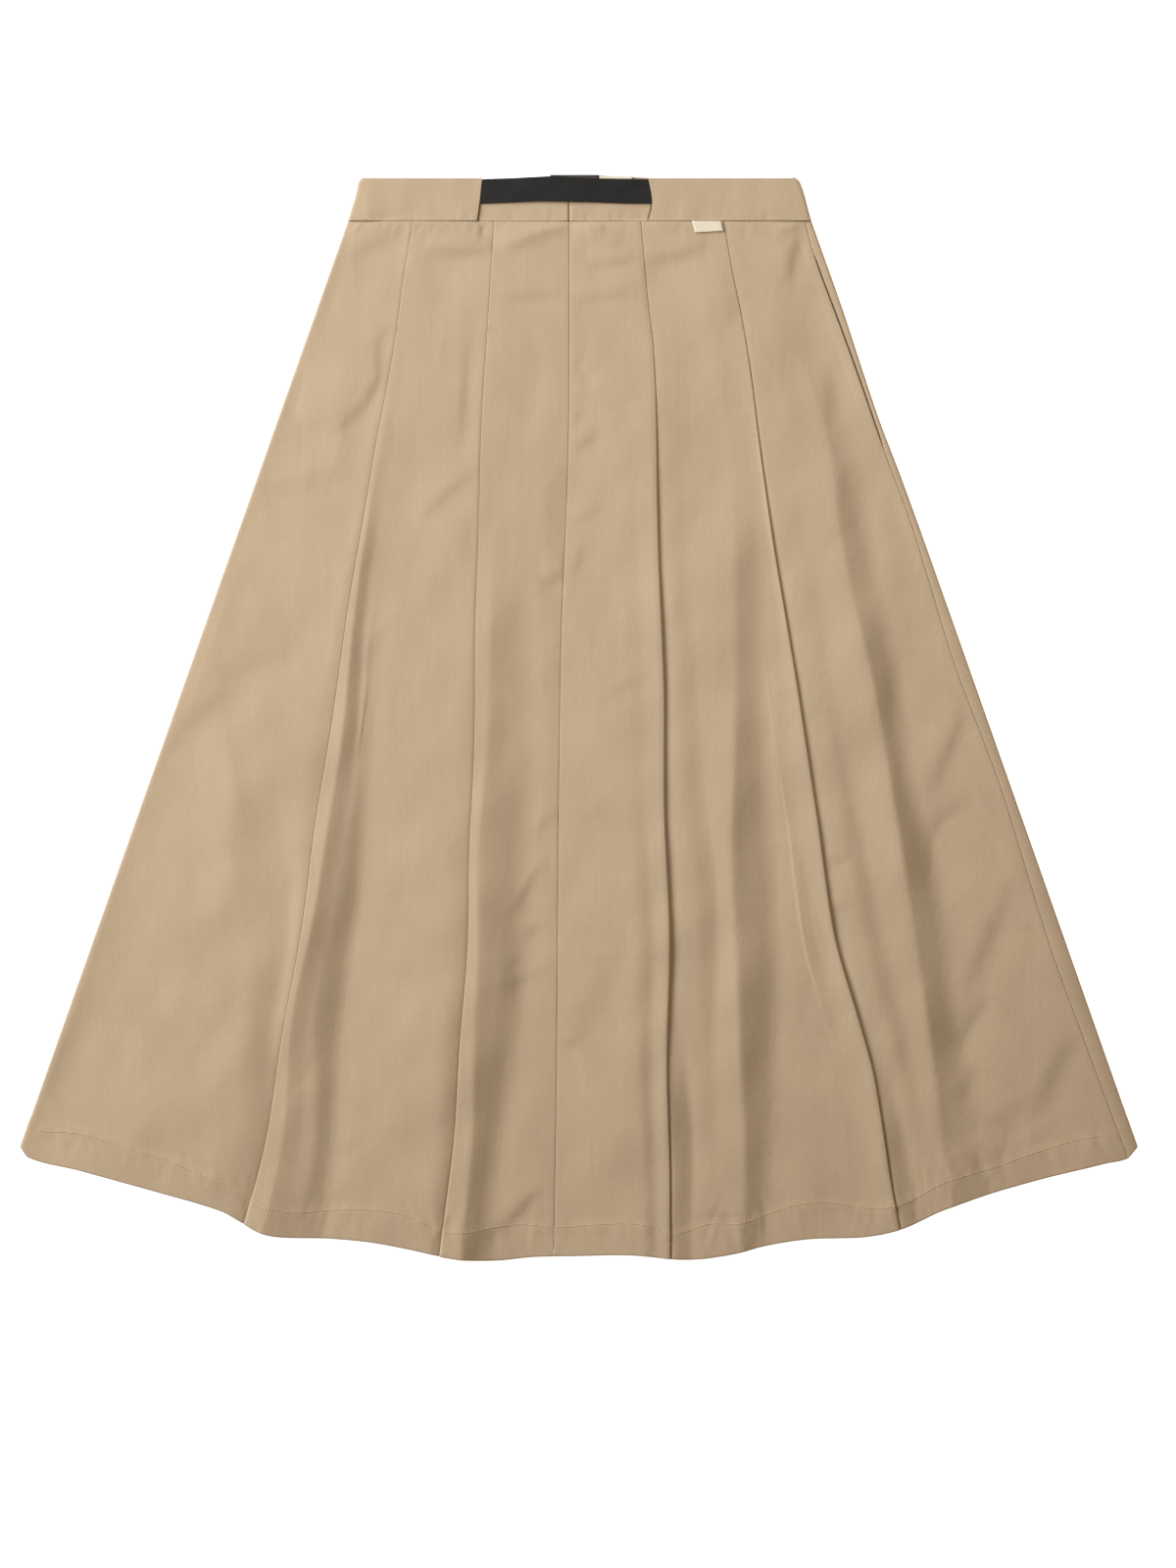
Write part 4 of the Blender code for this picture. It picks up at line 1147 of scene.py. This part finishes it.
def beltStrap():
    def slots(drop):
        return slotLeft(drop) + skirt["seamGap"], slotRight(drop) - skirt["seamGap"]

    inner = np.arange(1, strap["parts"]) / strap["parts"]
    across = np.concatenate([[0, 0.001, 0.003], inner, [0.997, 0.999, 1]])
    inner = np.arange(1, strap["rows"]) / strap["rows"]
    share = np.concatenate([[0, 0.01, 0.03], inner, [0.97, 0.99, 1]])[:, None]
    first, last = slots(0.0)
    high = curve(strap["top"], "x", "drop")(first + across * (last - first))
    first, last = slots(strap["width"])
    low = curve(strap["bottom"], "x", "drop")(first + across * (last - first))
    drop = high + share * (low - high)
    first, last = slots(drop)
    x = first + across * (last - first)
    inside = 1 - ((share - 0.5) * 2) ** 2  # 0 at the edges
    z = strap["z"] + curve(strap["lift"], "x", "z")(x) + strap["crown"] * inside
    z = z + strap["ripple"] * np.sin(x / 11) * inside
    return clothSheet("belt_webbing", x, drop, z, strap["thick"], webbing)


labels = {
    # the corners lie a little skew: top left, top right, bottom left and bottom right
    "waist": {"corners": ((94.7, 35.9), (119.3, 36.1), (97.2, 45.9), (120.9, 44.5)),
              "thick": 0.6, "lift": 0.75},
    "insideDark": {"left": -24.0, "right": 17.0, "top": -3.3, "bottom": 12.0},
    "insidePale": {"left": 17.3, "right": 45.0, "top": -1.9, "bottom": 12.0},
    "insideZ": 2.8,
    "insideThick": 0.9,
}


def topSurface(*pieces):
    # a function that finds the highest face of these pieces under a point of the plan
    trees = []
    for piece in pieces:
        ready = piece.evaluated_get(bpy.context.evaluated_depsgraph_get())
        made = bmesh.new()
        made.from_mesh(ready.to_mesh())
        trees.append(BVHTree.FromBMesh(made))
        made.free()
        ready.to_mesh_clear()

    def find(x, drop):
        best = None
        above = Vector((x / 1000, (skirt["bandTopY"] - drop) / 1000, 0.1))
        for tree in trees:
            spot, normal, _, _ = tree.ray_cast(above, Vector((0, 0, -1)))
            if spot and (best is None or spot.z > best[0].z):
                best = (spot, normal if normal.z > 0 else -normal)
        return best

    return find


bpy.context.view_layer.update()
onFront = topSurface(leftHalf, rightHalf)
onBand = topSurface(bandLeftPiece, bandRightPiece, bandCentreLeft, bandCentreRight)


def waistLabel():
    look = labels["waist"]
    topLeft, topRight, lowLeft, lowRight = np.array(look["corners"])
    s = (np.arange(17) / 16)[None, :, None]
    t = (np.arange(9) / 8)[:, None, None]
    top = topLeft + s * (topRight - topLeft)
    low = lowLeft + s * (lowRight - lowLeft)
    x, drop = np.moveaxis(top + t * (low - top), -1, 0)
    # the surface below it, from just under the waist seam on
    hits = [onFront(across, max(down, 37.5)) for across, down in zip(x.ravel(), drop.ravel())]
    under = np.array([hit[0].z * 1000 for hit in hits]).reshape(x.shape)
    z = under.mean(axis=0)[None, :] * 0.5 + under.mean() * 0.5 + look["lift"] + 0 * x
    return clothSheet("label_waist", x, drop, z, look["thick"], creamLabel)


def insideLabel(name, size, finish):
    x = np.linspace(size["left"], size["right"], 21)[None, :].repeat(9, axis=0)
    drop = downRows(np.linspace(size["top"], size["bottom"], 9), 21)
    z = labels["insideZ"] + 0.1 * np.sin(x / 5)
    return clothSheet(name, x, drop, z, labels["insideThick"], finish)


pocket = {
    "in": (6, 6, 6, 6, 26, 62, 104, 134, 142, 142, 142),
    "drop": (56, 120, 180, 236, 292, 314, 312, 288, 250, 150, 56),
    "z": 1.8,
    "thick": 0.9,
}


def pocketBag():
    # a flat pouch with a rounded foot, filled from its outline
    bag = bmesh.new()
    outline = []
    for inward, drop in zip(pocket["in"], pocket["drop"]):
        spot = (float(sideSeam(drop)) - inward, skirt["bandTopY"] - drop, pocket["z"])
        outline.append(bag.verts.new([v / 1000 for v in spot]))
    bag.faces.new(outline)
    bmesh.ops.triangulate(bag, faces=bag.faces)
    bmesh.ops.subdivide_edges(bag, edges=bag.edges, cuts=2, use_grid_fill=True)
    bag.normal_update()
    for face in bag.faces:
        if face.normal.z < 0:
            face.normal_flip()
    threads = bag.loops.layers.uv.new("cloth")
    for face in bag.faces:
        for loop in face.loops:
            loop[threads].uv = (loop.vert.co.x * 1000, -loop.vert.co.y * 1000)
    pouch = addPiece("pocket_pouch", bag, twill)
    addWall(pouch, pocket["thick"])
    return pouch


strapPiece = beltStrap()
waistLabelPiece = waistLabel()
darkPiece = insideLabel("label_inside_dark", labels["insideDark"], darkLabel)
palePiece = insideLabel("label_inside_pale", labels["insidePale"], creamLabel)
pouchPiece = pocketBag()
print("strap, labels and pocket made")


# stitching
stitch = {"length": 1.4, "width": 0.7, "gap": 0.9, "sink": 0.02}
hemStitch = {"length": 2.0, "width": 0.75, "gap": 0.7, "sink": 0.0}
tack = {
    "length": 1.8,
    "width": 0.5,
    "gap": 0.25,
    "sink": 0.1,
    "reach": 4,  # above and below the foot of a pleat's stitching
    "beside": 0.8,
    "pleats": {"left outer": 127, "left inner": 127, "right inner": 127, "right outer": 124},
    "pocket": (63, 66, 224, 227),  # the drops of two at each end of the opening
    "fromSeam": (5.0, 0.6),
}


def stitchRow(name, spots, finish, size=stitch):
    # Stitches along a run of points, each lying on the cloth beneath it. A spot is a point, the
    # cloth's normal there, and the direction that the stitch runs in.
    made = bmesh.new()
    for spot, normal, along in spots:
        along = (along - normal * along.dot(normal)).normalized()
        side = normal.cross(along).normalized()
        shape = bmesh.ops.create_icosphere(made, subdivisions=1, radius=0.5)
        half = (size["length"] / 1000, size["width"] / 1000, size["width"] / 1000)
        for vert in shape["verts"]:
            x, y, z = (c * h for c, h in zip(vert.co, half))
            up = z - size["sink"] / 1000 + half[2] / 2 * 0.6
            vert.co = spot + along * x + side * y + normal * up
    piece = addPiece(name, made, finish)
    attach(piece, "root")
    return piece


def spotsAlong(points, finder, size=stitch):
    # evenly spaced spots along a line of (x, drop) points
    points = np.asarray(points, float)
    steps = np.hypot(*np.diff(points, axis=0).T)
    gone = np.concatenate([[0], np.cumsum(steps)])
    spots = []
    for at in np.arange(size["gap"], gone[-1] - size["length"], size["length"] + size["gap"]):
        start, end = (finder(*(np.interp(at + d, gone, way) for way in points.T))
                      for d in (0, size["length"]))
        if start and end and (end[0] - start[0]).length < size["length"] / 1000 * 1.6:
            normal = ((start[1] + end[1]) / 2).normalized()
            spots.append(((start[0] + end[0]) / 2, normal, end[0] - start[0]))
    return spots


def hemSpots(first, last):
    x = np.linspace(first, last, 400)
    line = np.stack([x, frontHem(x) - hemDepth(x)], axis=1)
    return spotsAlong(line, onFront, hemStitch)


seamAtHem = float(centreSeam(880))
hemRun = hemSpots(-452, seamAtHem - 1) + hemSpots(seamAtHem + 1, 438)
hemStitches = stitchRow("stitches_hem", hemRun, paleThread, hemStitch)

bandDrop = skirt["waistDrop"] - band["stitchUp"]
bandSpots = []
for first, last in ((-186, -85.5), (-83, seamAtBand - 1), (seamAtBand + 1, 58), (60, 187)):
    bandSpots += spotsAlong([(first, bandDrop), (last, bandDrop)], onBand)
bandStitches = stitchRow("stitches_waistband", bandSpots, lightThread)

tackSpots = []
for name, drop in tack["pleats"].items():
    x = float(curve(pleats[name])(drop))
    for beside in (-tack["beside"], tack["beside"]):
        line = [(x + beside, drop - tack["reach"]), (x + beside, drop + tack["reach"])]
        tackSpots += spotsAlong(line, onFront, tack)
for drop in tack["pocket"]:
    line = [(float(sideSeam(drop)) - inward, drop) for inward in tack["fromSeam"]]
    tackSpots += spotsAlong(line, onFront, tack)
tackStitches = stitchRow("stitches_tacks", tackSpots, khakiThread, tack)
print("stitches made")


# hand over to the frame
for piece, node, slot in (
    (leftHalf, "front_left", "twill"),
    (rightHalf, "front_right", "twill"),
    (backCloth, "back", "twill"),
    (bandLeftPiece, "waistband_left", "twill"),
    (bandRightPiece, "waistband_right", "twill"),
    (bandCentreLeft, "waistband_centre_left", "twill"),
    (bandCentreRight, "waistband_centre_right", "twill"),
    (bandBackPiece, "waistband_back", "twill"),
    (strapPiece, "belt_strap", "webbing"),
    (waistLabelPiece, "waist_label", "cream_label"),
    (darkPiece, "inside_label_dark", "dark_label"),
    (palePiece, "inside_label_pale", "cream_label"),
    (pouchPiece, "pocket_bag", "twill"),
):
    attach(piece, "root")
    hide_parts(node)

print("done")
